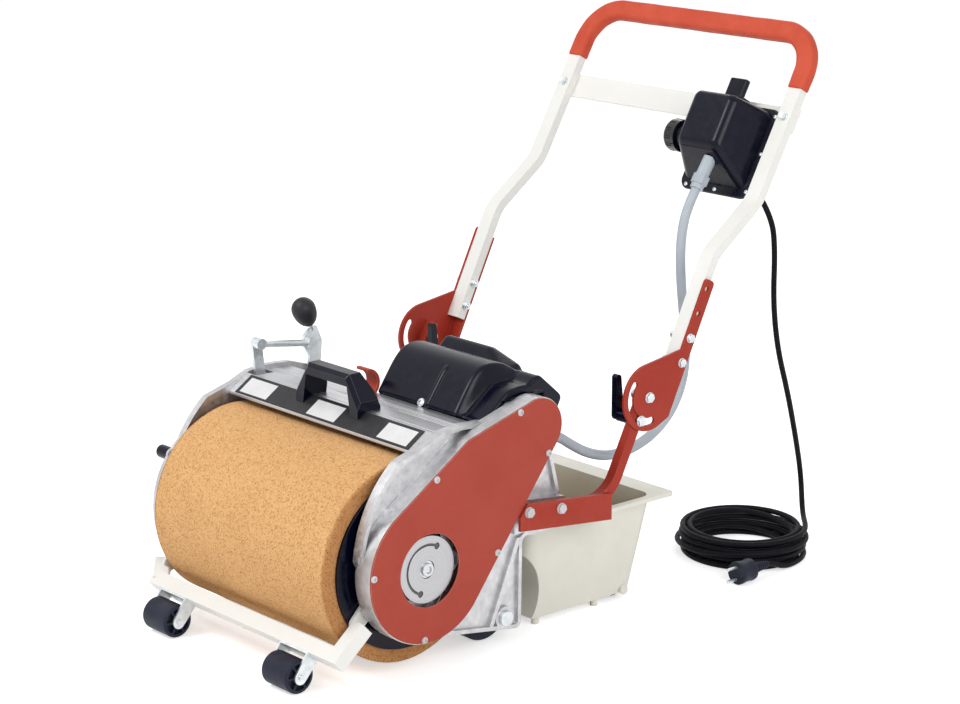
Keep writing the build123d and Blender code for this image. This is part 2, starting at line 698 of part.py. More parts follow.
def profile_top_z(y):
    """Height of the profile's flat top at y."""
    share = (y - PROFILE_BEND_Y) / (PROFILE_REAR_Y - PROFILE_BEND_Y)
    return PROFILE_BEND_Z + share * (PROFILE_REAR_Z - PROFILE_BEND_Z)


def top_profile():
    """Grooved profile across the top, its strip, the carrying handle and a hook."""
    section = profile_section()
    for y in GROOVE_YS:
        section -= Pos(y, profile_top_z(y)) * Rectangle(GROOVE_W, 2 * GROOVE_D)
    beam = side(-SIDE_IN, SIDE_IN, section)
    slot_front = WRING_PIVOT_Y - LUG_SLOT_FRONT
    slot_rear = WRING_PIVOT_Y + LUG_SLOT_REAR
    slot_low = PROFILE_FRONT_Z - PROFILE_RISE
    slot_high = PROFILE_BEND_Z + PROFILE_RISE
    slot = outline([
        (slot_front, slot_low), (slot_rear, slot_low), (slot_rear, slot_high), (slot_front, slot_high),
    ])
    beam -= side(-SIDE_IN, -SIDE_IN + WRING_ARM_T + 2 * SWING_GAP + LINK_EYE_W, slot)
    emit("top_profile", beam)

    slope = Vector(PROFILE_BEND_Y - PROFILE_FRONT_Y, PROFILE_BEND_Z - PROFILE_FRONT_Z)
    away = Vector(-slope.Y, slope.X).normalized() * STRIP_T
    inset = slope.normalized() * STRIP_EDGE
    low = Vector(PROFILE_FRONT_Y, PROFILE_FRONT_Z) + inset
    high = Vector(PROFILE_BEND_Y, PROFILE_BEND_Z) - inset
    low_top = low + away
    high_top = high + away
    strip = outline([(low.X, low.Y), (high.X, high.Y), (high_top.X, high_top.Y), (low_top.X, low_top.Y)])
    emit("label_strip", side(-STRIP_L / 2, STRIP_L / 2, strip))

    half = BRIDGE_W / 2
    base = PROFILE_FRONT_Z
    top = PROFILE_BEND_Z + BRIDGE_H
    knee = PROFILE_BEND_Z + BRIDGE_KNEE
    arch = outline([
        (-half, base), (-half, knee), (-half + BRIDGE_SLANT, top), (half - BRIDGE_SLANT, top),
        (half, knee), (half, base),
    ])
    gap_top = half - BRIDGE_SLANT
    gap = outline([
        (-half + BRIDGE_LEG, base), (-gap_top, top - BRIDGE_BAR), (gap_top, top - BRIDGE_BAR),
        (half - BRIDGE_LEG, base),
    ])
    grip = extrude(Plane.XZ.offset(-BRIDGE_FRONT_Y) * (arch - gap), -BRIDGE_DEPTH)
    top_edges = [e for e in grip.edges() if e.center().Z > knee and abs(e.tangent_at(0.5).Y) < 0.1]
    outer = [e for e in top_edges if e.center().Z > top - BRIDGE_BAR / 2 or abs(e.center().X) > gap_top + 1]
    grip = chamfer(outer, BRIDGE_EDGE)
    rear_y = BRIDGE_FRONT_Y + BRIDGE_DEPTH
    grip &= side(-half, half, outline([
        (BRIDGE_FRONT_Y, base), (rear_y, base), (rear_y, knee), (BRIDGE_FRONT_Y + BRIDGE_TOP_DEPTH, top),
        (BRIDGE_FRONT_Y, top),
    ]))
    below = outline([
        (PROFILE_FRONT_Y + away.X, PROFILE_FRONT_Z + away.Y),
        (PROFILE_BEND_Y + away.X, PROFILE_BEND_Z + away.Y),
        (PROFILE_BEND_Y, PROFILE_BEND_Z), (PROFILE_REAR_Y, PROFILE_REAR_Z),
        (PROFILE_REAR_Y, base - PROFILE_LEG),
        (PROFILE_FRONT_Y + away.X, base - PROFILE_LEG),
    ])
    emit("bridge_handle", grip - side(-half, half, below))

    lean = math.radians(HOOK_LEAN)
    centre_y = PROFILE_REAR_Y - HOOK_R * math.cos(lean) - PROFILE_FALL
    centre_z = PROFILE_REAR_Z + HOOK_R * math.sin(lean) - PROFILE_FALL / 2
    hook = Pos(centre_y, centre_z) * arc_band(HOOK_R - HOOK_T / 2, HOOK_T, -HOOK_LEAN, HOOK_END)
    foot_y = PROFILE_REAR_Y - HOOK_FOOT
    foot_z = profile_top_z(foot_y)
    foot = outline([
        (foot_y, foot_z), (PROFILE_REAR_Y, PROFILE_REAR_Z), (PROFILE_REAR_Y, PROFILE_REAR_Z + HOOK_FOOT_T),
        (foot_y, foot_z + HOOK_FOOT_T),
    ])
    hook = side(HOOK_X - HOOK_W / 2, HOOK_X + HOOK_W / 2, hook + foot)
    above = outline([
        (0, profile_top_z(0)), (PROFILE_REAR_Y, PROFILE_REAR_Z), (PROFILE_REAR_Y + HOOK_R, PROFILE_REAR_Z),
        (PROFILE_REAR_Y + HOOK_R, PROFILE_REAR_Z + 3 * HOOK_R), (0, PROFILE_REAR_Z + 3 * HOOK_R),
    ])
    emit("cable_hook", hook & side(HOOK_X - HOOK_W, HOOK_X + HOOK_W, above))


def hood_section(points, start_y, radius):
    """Outline of the motor cover in (y, z), from points measured from the motor's axis."""
    front = (start_y, PROFILE_REAR_Z - PROFILE_FALL)
    shoulder = (HOOD_REAR_Y, PINION_Z - HOOD_SHOULDER)
    rear = (HOOD_REAR_Y, HOOD_REAR_Z)
    shape = outline([front] + [(PINION_Y + y, PINION_Z + z) for y, z in points] + [shoulder, rear])
    bends = [v for v in shape.vertices() if v.Y > shoulder[1] + 1 and v.X > start_y + 1]
    return fillet(bends, radius)


def motor_group():
    """Motor, gearbox and the black moulded cover over them."""
    tall = hood_section(HOOD_TALL, PROFILE_REAR_Y, HOOD_ROUND)
    low = hood_section(HOOD_LOW, PROFILE_REAR_Y + HOOD_LOW_FRONT, HOOD_ROUND)
    crest = outline([(PINION_Y + y, PINION_Z + z) for y, z in CREST])
    crest = fillet(crest.vertices().group_by(Axis.Y)[-2:], CREST_ROUND)
    crest_x0 = HOOD_X0 + CREST_X
    crest_x1 = crest_x0 + CREST_L
    crest_low = PINION_Z + CREST[-1][1]
    crest_high = PINION_Z + CREST[1][1]
    ramp_low = crest_high - CREST_DROP

    def crest_block(grow):
        long_x = crest_x1 + CREST_RAMP - grow
        ramp = outline([
            (crest_x0 + grow, crest_low), (crest_x0 + grow, crest_high), (crest_x1 - grow, crest_high),
            (long_x, ramp_low), (long_x, crest_low),
        ])
        section = offset(crest, -grow) if grow else crest
        return side(crest_x0, crest_x1 + CREST_RAMP, section) & extrude(Plane.XZ * ramp, -2 * HOOD_REAR_Y)

    hood = side(HOOD_X0, HOOD_STEP_X, tall) + side(HOOD_STEP_X, SIDE_IN, low) + crest_block(0)
    rib_y0 = PROFILE_REAR_Y + HOOD_WALL
    rib_y1 = rib_y0 + HOOD_RIB_RUN
    rib_zone = outline([
        (rib_y0, PROFILE_REAR_Z), (rib_y1, PROFILE_REAR_Z), (rib_y1, crest_high + HOOD_WALL),
        (rib_y0, crest_high + HOOD_WALL),
    ])
    hood += side(HOOD_RIB_X, HOOD_RIB_X + HOOD_RIB_W, offset(tall, HOOD_RIB_H) & rib_zone)
    inside = side(HOOD_X0 + HOOD_WALL, HOOD_STEP_X - HOOD_WALL, offset(tall, -HOOD_WALL))
    inside += side(HOOD_STEP_X - HOOD_WALL, SIDE_IN, offset(low, -HOOD_WALL))
    inside += crest_block(HOOD_WALL)
    mouth_low = HOOD_REAR_Z - 2 * HOOD_WALL
    mouth_front = PROFILE_REAR_Y + HOOD_LOW_FRONT + HOOD_WALL
    mouth_rear = HOOD_REAR_Y - HOOD_WALL
    mouth = outline([
        (mouth_front, PINION_Z + 3 * HOOD_WALL), (mouth_front, mouth_low), (mouth_rear, mouth_low),
        (mouth_rear, HOOD_REAR_Z + 3 * HOOD_WALL), (PINION_Y, PINION_Z),
    ])
    inside += side(HOOD_X0 + HOOD_WALL, SIDE_IN, mouth)
    emit("motor_cover", hood - inside)

    motor = rod(MOTOR_X0, GEARBOX_X0, PINION_Y, PINION_Z, MOTOR_R)
    motor = fillet(motor.faces().sort_by(Axis.X)[0].edges(), MOTOR_EDGE)
    for turn in range(1, 8):
        fin = Rot(0, 0, FIN_STEP * turn) * Pos(MOTOR_R, 0) * Rectangle(2 * FIN_D, FIN_W)
        fin = Pos(PINION_Y, PINION_Z) * fin
        motor -= side(MOTOR_X0 + 3 * MOTOR_EDGE, GEARBOX_X0 - MOTOR_EDGE, fin)
    emit("motor", motor)

    half_y = GEARBOX_L / 2
    half_z = GEARBOX_H / 2
    box = outline([
        (PINION_Y - half_y, PINION_Z - half_z), (PINION_Y + half_y, PINION_Z - half_z),
        (PINION_Y + half_y, PINION_Z + half_z), (PINION_Y - half_y, PINION_Z + half_z),
    ], 12.0)
    gearbox = side(GEARBOX_X0, SIDE_IN, box)
    bore_x = SIDE_OUT + CASE_WALL + 1 - PULLEY_W - SIDE_T - 2 * CASE_WALL
    gearbox -= rod(bore_x - FACE_GAP, SIDE_IN, PINION_Y, PINION_Z, DRIVE_SHAFT_R + RUN_FIT)
    emit("gearbox", gearbox)


def lever_pivot():
    """The hand lever's pivot: the linkage is a parallelogram."""
    return WRING_PIVOT_Y + LINK_DY, WRING_PIVOT_Z + LINK_DZ


def wringer():
    """Wringer roller on its swinging frame, with the hand lever and its link."""
    plate_x0 = SIDE_IN - SWING_GAP - WRING_ARM_T
    plate_x1 = SIDE_IN - SWING_GAP
    arm_shape = hull(
        (WRING_PIVOT_Y, WRING_PIVOT_Z, WRING_ARM_W / 2), (WRINGER_Y, WRINGER_Z, WRING_ARM_W / 2),
    )
    lug_y = WRING_PIVOT_Y + LUG_DY
    lug_z = WRING_PIVOT_Z + LUG_DZ
    lug_shape = hull((WRING_PIVOT_Y, WRING_PIVOT_Z, WRING_ARM_W / 2), (lug_y, lug_z, LINK_EYE_R))
    arm = side(plate_x0, plate_x1, arm_shape)
    frame = arm + mirrored(arm) + mirrored(side(plate_x0, plate_x1, lug_shape))
    frame += rod(-PAD_OUT, SIDE_OUT - FACE_GAP, WRING_PIVOT_Y, WRING_PIVOT_Z, WRINGER_PIN_R)
    hole = rod(-SIDE_IN, SIDE_IN, WRINGER_Y, WRINGER_Z, WRINGER_PIN_R + RUN_FIT)
    link_x1 = -plate_x0 + FACE_GAP + LINK_EYE_W
    frame = frame - hole
    frame += rod(-plate_x1, link_x1, lug_y, lug_z, LINK_PIN_R)
    emit("wringer_frame", frame)

    roll_end = plate_x0 - SWING_GAP
    roller = rod(-roll_end, roll_end, WRINGER_Y, WRINGER_Z, WRINGER_R)
    roller = chamfer(roller.edges().filter_by(GeomType.CIRCLE), 2)
    emit("wringer_roller", roller + rod(-plate_x1, plate_x1, WRINGER_Y, WRINGER_Z, WRINGER_PIN_R))

    pivot_y, pivot_z = lever_pivot()
    tip_y = pivot_y + LUG_DY
    tip_z = pivot_z + LUG_DZ
    blade = outline([(pivot_y + y, pivot_z + z) for y, z in LEVER_BLADE], LEVER_ROUND)
    lever = side(-plate_x1, -plate_x0, blade)
    lever += rod(-PAD_OUT, -plate_x0, pivot_y, pivot_z, WRINGER_PIN_R)
    lever += rod(-plate_x1, link_x1, tip_y, tip_z, LINK_PIN_R)
    lean = Vector(0, -math.sin(math.radians(STEM_LEAN)), math.cos(math.radians(STEM_LEAN)))
    neck = Vector(-(plate_x0 + plate_x1) / 2, pivot_y + LEVER_NECK[0], pivot_z + LEVER_NECK[1])
    stem = Plane(origin=neck, z_dir=lean)
    lever += extrude(stem * Circle(STEM_R), STEM_L)
    emit("wringer_lever", lever)

    egg = Spline(
        (4.2, 0), (KNOB_R * 0.62, KNOB_H * 0.16), (KNOB_R, KNOB_H * 0.6), (KNOB_R * 0.62, KNOB_H * 0.93),
        (0, KNOB_H),
        tangents=[(1, 0.25), (-1, 0)],
    )
    half_egg = make_face(egg + Polyline((0, KNOB_H), (0, 0), (4.2, 0)))
    knob = revolve(Plane.XZ * half_egg, Axis.Z)
    knob_plane = Plane(origin=neck + lean * STEM_BARE, z_dir=lean)
    knob = knob_plane * knob - extrude(stem * Circle(STEM_R), STEM_L)
    emit("lever_knob", knob)

    link_x0 = link_x1 - LINK_EYE_W
    mid_x = (link_x0 + link_x1) / 2
    eyes = rod(link_x0, link_x1, lug_y, lug_z, LINK_EYE_R) + rod(link_x0, link_x1, tip_y, tip_z, LINK_EYE_R)
    along = Vector(0, LINK_DY, LINK_DZ)
    tube = extrude(Plane(origin=(mid_x, lug_y, lug_z), z_dir=along) * Circle(LINK_R), along.length)
    link = eyes + tube
    link -= rod(link_x0, link_x1, lug_y, lug_z, LINK_PIN_R + FACE_GAP)
    link -= rod(link_x0, link_x1, tip_y, tip_z, LINK_PIN_R + RUN_FIT)
    emit("wringer_link", link)


def rear_axle():
    """Axle with shoulders, its wheels, the cross tube and the drain chute."""
    wheel_x0 = WHEEL_X - WHEEL_W / 2
    wheel_x1 = WHEEL_X + WHEEL_W / 2
    axle = rod(-PAD_OUT, PAD_OUT, AXLE_Y, AXLE_Z, AXLE_R)
    for flip in (1, -1):
        head = rod(PAD_OUT, PAD_OUT + AXLE_HEAD_T, AXLE_Y, AXLE_Z, AXLE_HEAD_R)
        spacer = rod(wheel_x1 + FACE_GAP, SIDE_IN, AXLE_Y, AXLE_Z, AXLE_R + 5)
        collar = rod(wheel_x0 - FACE_GAP - 6, wheel_x0 - FACE_GAP, AXLE_Y, AXLE_Z, AXLE_R + 5)
        pieces = head + spacer + collar
        axle += pieces if flip > 0 else mirrored(pieces)
    emit("rear_axle", axle)

    tread = AXLE_Z
    wheel = rod(wheel_x0, wheel_x1, AXLE_Y, AXLE_Z, tread)
    wheel = fillet(wheel.edges().filter_by(GeomType.CIRCLE), 5)
    dish = ring(wheel_x1 - 6, wheel_x1, AXLE_Y, AXLE_Z, tread - 12, AXLE_R + 8)
    dish += ring(wheel_x0, wheel_x0 + 6, AXLE_Y, AXLE_Z, tread - 12, AXLE_R + 8)
    wheel = wheel - dish - rod(wheel_x0, wheel_x1, AXLE_Y, AXLE_Z, AXLE_R + RUN_FIT)
    emit("rear_wheel_right", wheel)
    emit("rear_wheel_left", mirrored(wheel))

    emit("rear_tie_bar", rod(-SIDE_IN, SIDE_IN, TIE_Y, TIE_Z, TIE_R))

    start_y = (SPONGE_R + CHUTE_GAP) * math.cos(math.radians(CHUTE_ANGLE))
    start_z = DRUM_Z + (SPONGE_R + CHUTE_GAP) * math.sin(math.radians(CHUTE_ANGLE))
    line = [(start_y + run, start_z + fall) for run, fall in CHUTE_RUN]
    under = [(y, z - CHUTE_T / 0.87) for y, z in reversed(line)]
    emit("drain_chute", side(-SIDE_IN, SIDE_IN, outline(line + under)))


def caster_frame():
    """U-shaped caster frame that swings down in front, with two fixed casters."""
    plate_x0 = SIDE_IN - SWING_GAP - CASTER_PLATE_T
    plate_x1 = SIDE_IN - SWING_GAP
    pivot = Vector(0, CASTER_PIVOT_Y, CASTER_PIVOT_Z)
    reach = (Vector(0, BAR_Y, BAR_Z) - pivot).normalized()
    # The bar's sides lie along the swing arms and square to them
    tilt = Plane(origin=(0, BAR_Y, BAR_Z), x_dir=(1, 0, 0), z_dir=reach)
    bar = Pos((BAR_LEFT + BAR_RIGHT) / 2, 0) * Rectangle(BAR_RIGHT - BAR_LEFT + BAR_S, BAR_S)
    frame = extrude(tilt.offset(-BAR_S / 2) * bar, BAR_S)
    arm_x = plate_x1 + BAR_S / 2
    for flip, bar_x, stop in ((1, BAR_RIGHT, CASTER_STOP_RIGHT), (-1, BAR_LEFT, CASTER_STOP_LEFT)):
        top = pivot + reach * stop
        frame += bar_between((bar_x, BAR_Y, BAR_Z), (flip * arm_x, top.Y, top.Z), BAR_S, BAR_S)
        strap = hull((pivot.Y, pivot.Z, CASTER_PIN_R + 7), (top.Y, top.Z, CASTER_PIN_R + 5))
        strap = side(plate_x0, plate_x1, strap)
        frame += strap if flip > 0 else mirrored(strap)
    frame -= rod(-SIDE_OUT, SIDE_OUT, CASTER_PIVOT_Y, CASTER_PIVOT_Z, CASTER_PIN_R + RUN_FIT)
    clear_of_flange = rod(-plate_x0, plate_x0, 0, DRUM_Z, SPONGE_R + 4)
    emit("caster_frame", frame - clear_of_flange)

    pin = rod(plate_x0, SIDE_OUT, CASTER_PIVOT_Y, CASTER_PIVOT_Z, CASTER_PIN_R)
    emit("caster_pivot_pins", Compound(children=[pin, mirrored(pin)]))

    seat = tilt.offset(BAR_S / 2)
    near = [seat.from_local_coords(Vector(0, across, FORK_T)) for across in (-FORK_EAR_W / 2, FORK_EAR_W / 2)]
    ear = hull((CASTER_Y, CASTER_R, FORK_EAR_W / 2), *((spot.Y, spot.Z, FORK_T / 2) for spot in near))
    gap = CASTER_W / 2 + FACE_GAP
    forks = []
    for name, x in (("right", CASTER_X), ("left", -CASTER_X)):
        wheel = rod(x - CASTER_W / 2, x + CASTER_W / 2, CASTER_Y, CASTER_R, CASTER_R)
        wheel = fillet(wheel.edges().filter_by(GeomType.CIRCLE), CASTER_EDGE)
        dish = Circle(CASTER_R - DISH_RIM) - Circle(LINK_PIN_R + SPOKE_W)
        for turn in range(3):
            dish -= Rot(0, 0, 60 * turn) * Rectangle(2 * CASTER_R, SPOKE_W)
        dish = side(0, DISH_D, Pos(CASTER_Y, CASTER_R) * dish)
        wheel = wheel - Pos(x + CASTER_W / 2 - DISH_D, 0, 0) * dish - Pos(x - CASTER_W / 2, 0, 0) * dish
        wheel -= rod(x - CASTER_W, x + CASTER_W, CASTER_Y, CASTER_R, LINK_PIN_R + RUN_FIT)
        emit(f"caster_wheel_{name}", wheel)
        fork = side(x + gap, x + gap + FORK_T, ear) + side(x - gap - FORK_T, x - gap, ear)
        fork += extrude(seat * Pos(x, 0) * Rectangle(2 * (gap + FORK_T), FORK_EAR_W + FORK_T), FORK_T)
        pin_end = gap + FORK_T + 3
        fork += rod(x - pin_end, x + pin_end, CASTER_Y, CASTER_R, LINK_PIN_R)
        forks.append(fork)
    emit("caster_forks", Compound(children=forks))


def arm_axis_z(y):
    """Height of the arm's lower leg axis at y."""
    return ARM_START_Z - (y - ARM_START_Y) * math.tan(math.radians(ARM_PITCH))


def arms():
    """Bent square tubes that carry the handle, each with its side plate and bolts."""
    low_end = (ARM_START_Y, arm_axis_z(ARM_START_Y))
    # The upright leg passes through the handle's pivot at its lean
    tan_lean = math.tan(math.radians(ARM_LEAN))
    tan_pitch = math.tan(math.radians(ARM_PITCH))
    rise = (PIVOT_Z - low_end[1]) + (ARM_START_Y - PIVOT_Y) * -tan_pitch
    corner_z = PIVOT_Z - rise / (1 + tan_lean * tan_pitch)
    corner_y = PIVOT_Y - (PIVOT_Z - corner_z) * tan_lean
    high_end = (PIVOT_Y - ARM_TOP * ARM_DOWN.Y, PIVOT_Z - ARM_TOP * ARM_DOWN.Z)
    path = FilletPolyline(low_end, (corner_y, corner_z), high_end, radius=ARM_BEND_R)
    arm_x1 = ARM_IN + ARM_W
    clear_of_case = drive_outline(FACE_GAP)
    arm = side(ARM_IN, arm_x1, trace(path, ARM_D) - clear_of_case)
    front_z = arm_axis_z(ARM_PLATE_Y0)
    rear_z = arm_axis_z(corner_y)
    plate = outline([
        (ARM_PLATE_Y0, front_z - ARM_PLATE_LOW), (corner_y, rear_z - ARM_PLATE_LOW),
        (corner_y, rear_z + ARM_PLATE_UP), (ARM_PLATE_Y0, front_z + ARM_PLATE_UP),
    ])
    plate_x1 = arm_x1 + ARM_PLATE_T
    arm += side(arm_x1, plate_x1, plate - clear_of_case)
    bolts = []
    for y in ARM_BOLT_YS:
        z = arm_axis_z(y)
        arm -= rod(ARM_IN, plate_x1, y, z, BOLT_R)
        bolt = rod(plate_x1, plate_x1 + BOLT_HEAD_H, y, z, BOLT_HEAD_R)
        bolt = chamfer(bolt.faces().sort_by(Axis.X)[-1].edges(), 1.5)
        bolts.append(bolt + rod(SIDE_IN, plate_x1, y, z, BOLT_R))
    fixings = []
    for y, z, radius in ((PIVOT_Y, PIVOT_Z, PIVOT_R), (CLAMP_Y, CLAMP_Z, BOLT_R)):
        arm -= rod(ARM_IN, arm_x1, y, z, radius)
        head = rod(QUAD_OUT + FACE_GAP, QUAD_OUT + FACE_GAP + BOLT_HEAD_H, y, z, BOLT_HEAD_R)
        head = chamfer(head.faces().sort_by(Axis.X)[-1].edges(), 1.5)
        inner = ARM_IN - CLAMP_HUB_L if radius == BOLT_R else ARM_IN - BOLT_HEAD_H
        fixings.append(head + rod(inner, QUAD_OUT + FACE_GAP, y, z, radius))
    emit("arm_right", arm)
    emit("arm_left", mirrored(arm))
    emit("arm_bolts", Compound(children=bolts + [mirrored(b) for b in bolts]))
    emit("quadrant_bolts", Compound(children=fixings + [mirrored(b) for b in fixings]))

    hub_x1 = ARM_IN - FACE_GAP
    hub_x0 = ARM_IN - CLAMP_HUB_L
    lever = ring(hub_x0, hub_x1, CLAMP_Y, CLAMP_Z, CLAMP_HUB_R, BOLT_R + RUN_FIT)
    blade = hull((CLAMP_Y, CLAMP_Z, CLAMP_HUB_R - 1), (CLAMP_Y - 3, CLAMP_Z + CLAMP_LEVER_L, CLAMP_HUB_R - 4))
    lever += side(hub_x0 - 8, hub_x0 + 2, blade) - rod(hub_x0, hub_x1, CLAMP_Y, CLAMP_Z, BOLT_R + RUN_FIT)
    emit("clamp_lever_right", lever)
    emit("clamp_lever_left", mirrored(lever))


def leg_plane(x):
    """Plane of the lower handle leg's side: X along the leg from its end, Y to its rear."""
    rear = Vector(0, LEG_UP.Z, -LEG_UP.Y)
    return Plane(origin=(x, *HANDLE_END), x_dir=rear, z_dir=(1, 0, 0))


def upper_plane(level):
    """Plane of the upper handle leg, at a height in front of its axis: X across, Y up the leg."""
    ahead = Vector(0, -UPPER_UP.Z, UPPER_UP.Y)
    origin = Vector(0, *HANDLE_BEND_2) + ahead * level
    return Plane(origin=origin, x_dir=(1, 0, 0), z_dir=ahead)


def bow_path(start):
    """Path of the top of the handle in the upper leg's plane."""
    top = GRIP_START + BOW_H
    return FilletPolyline(
        (-HANDLE_X, start), (-HANDLE_X, top), (HANDLE_X, top), (HANDLE_X, start), radius=BOW_R,
    )


def handle():
    """Bent handle tube, foam grip, cross plate, quadrants and their bolts."""
    grip_end = Vector(0, *HANDLE_BEND_2) + UPPER_UP * GRIP_START
    leg_points = [HANDLE_END, HANDLE_BEND_1, HANDLE_BEND_2, (grip_end.Y, grip_end.Z)]
    leg_path = FilletPolyline(*leg_points, radius=HANDLE_BEND_R)
    leg = side(HANDLE_X - TUBE_W / 2, HANDLE_X + TUBE_W / 2, trace(leg_path, TUBE_D))
    bow = extrude(upper_plane(-TUBE_D / 2) * trace(bow_path(GRIP_START), TUBE_W), TUBE_D)
    hollow_d = TUBE_D - 2 * TUBE_WALL
    hollow_w = TUBE_W - 2 * TUBE_WALL
    inside = side(HANDLE_X - hollow_w / 2, HANDLE_X + hollow_w / 2, trace(leg_path, hollow_d))
    plug = extrude(leg_plane(0) * Rectangle(2 * TUBE_D, 4 * TUBE_WALL), 2 * HANDLE_X)
    inside -= plug
    channel = extrude(upper_plane(-hollow_d / 2) * trace(bow_path(GRIP_START), hollow_w), hollow_d)
    tube = leg + mirrored(leg) + bow - inside - mirrored(inside) - channel

    deep = TUBE_D / 2 + GRIP_WALL
    grip = extrude(upper_plane(-deep) * trace(bow_path(GRIP_START + 4), TUBE_W + 2 * GRIP_WALL), 2 * deep)
    rims = [e for e in grip.edges() if abs(e.tangent_at(0.5).dot(upper_plane(0).z_dir)) < 0.01]
    ends = grip.faces().filter_by(lambda f: abs(f.normal_at().dot(UPPER_UP)) > 0.99 and f.area < 2000)
    end_edges = [e for f in ends for e in f.edges()]
    long_edges = [e for e in rims if all(e.center() != d.center() for d in end_edges)]
    grip = fillet(long_edges, GRIP_ROUND)
    fit = TUBE_D / 2 + SEAT_GAP
    grip -= extrude(upper_plane(-fit) * trace(bow_path(GRIP_START - 4), TUBE_W + 2 * SEAT_GAP), 2 * fit)
    emit("handle_grip", grip)

    half = HANDLE_X + TUBE_W / 2
    back = -TUBE_D / 2
    plate = extrude(upper_plane(back) * Pos(0, CROSS_AT) * Rectangle(2 * half, CROSS_H), -CROSS_T)

    rear = TUBE_D / 2
    pivot = leg_plane(0).to_local_coords(Vector(0, PIVOT_Y, PIVOT_Z))
    clamp = leg_plane(0).to_local_coords(Vector(0, CLAMP_Y, CLAMP_Z))
    edge = rear + QUAD_FLANGE_T
    strip_l = QUAD_STRIP_TOP - QUAD_WEB_LOW
    strip = Pos(edge - QUAD_STRIP_W / 2, QUAD_WEB_LOW + strip_l / 2) * Rectangle(QUAD_STRIP_W, strip_l)
    strip = fillet(strip.vertices().group_by(Axis.Y)[-1], 6)
    web = make_hull(
        [Pos(pivot.X, pivot.Y) * e for e in Circle(QUAD_R).edges()]
        + [e for e in outline([
            (edge - QUAD_STRIP_W, QUAD_WEB_HIGH), (edge, QUAD_WEB_HIGH),
            (edge, QUAD_WEB_LOW), (edge - QUAD_STRIP_W, QUAD_WEB_LOW),
        ]).edges()]
    )
    clamp_angle = math.degrees(math.atan2(clamp.Y - pivot.Y, clamp.X - pivot.X))
    margin = math.degrees(1.0 / SLOT_R)
    slot = Pos(pivot.X, pivot.Y) * arc_band(
        SLOT_R, SLOT_W, clamp_angle - FOLD_FORWARD - margin, clamp_angle + FOLD_BACK + margin,
    )
    shape = web + strip - slot - Pos(pivot.X, pivot.Y) * Circle(PIVOT_R + RUN_FIT)
    for at in STRIP_BOLTS + STRIP_HOLES:
        shape -= Pos(0, at) * Circle(BOLT_R)
    quadrant = extrude(leg_plane(QUAD_IN) * shape, QUAD_T)
    flange = Pos(rear + QUAD_FLANGE_T / 2, QUAD_WEB_LOW + strip_l / 2) * Rectangle(
        QUAD_FLANGE_T, strip_l - 2 * QUAD_FLANGE_END,
    )
    quadrant += extrude(leg_plane(QUAD_IN - QUAD_FLANGE_W) * flange, QUAD_FLANGE_W)
    emit("quadrant_right", quadrant)
    emit("quadrant_left", mirrored(quadrant))

    bolts = []
    for at in STRIP_BOLTS:
        bolt = extrude(leg_plane(QUAD_OUT) * Pos(0, at) * Circle(BOLT_HEAD_R - 1), BOLT_HEAD_H)
        bolt += extrude(leg_plane(QUAD_OUT) * Pos(0, at) * Circle(BOLT_R), -QUAD_T - TUBE_W)
        hole = extrude(leg_plane(QUAD_OUT) * Pos(0, at) * Circle(BOLT_R), -QUAD_T - TUBE_W)
        tube = tube - hole - mirrored(hole)
        bolts += [bolt, mirrored(bolt)]
    for x in (-HANDLE_X, HANDLE_X):
        spot = Pos(x, CROSS_AT)
        shank = extrude(upper_plane(back - CROSS_T) * spot * Circle(BOLT_R), CROSS_T + TUBE_D)
        tube -= shank
        plate -= shank
        bolts.append(shank + extrude(upper_plane(-back) * spot * Circle(BOLT_HEAD_R - 1), BOLT_HEAD_H))
    emit("handle_tube", tube)
    emit("cross_plate", plate)
    emit("handle_bolts", Compound(children=bolts))


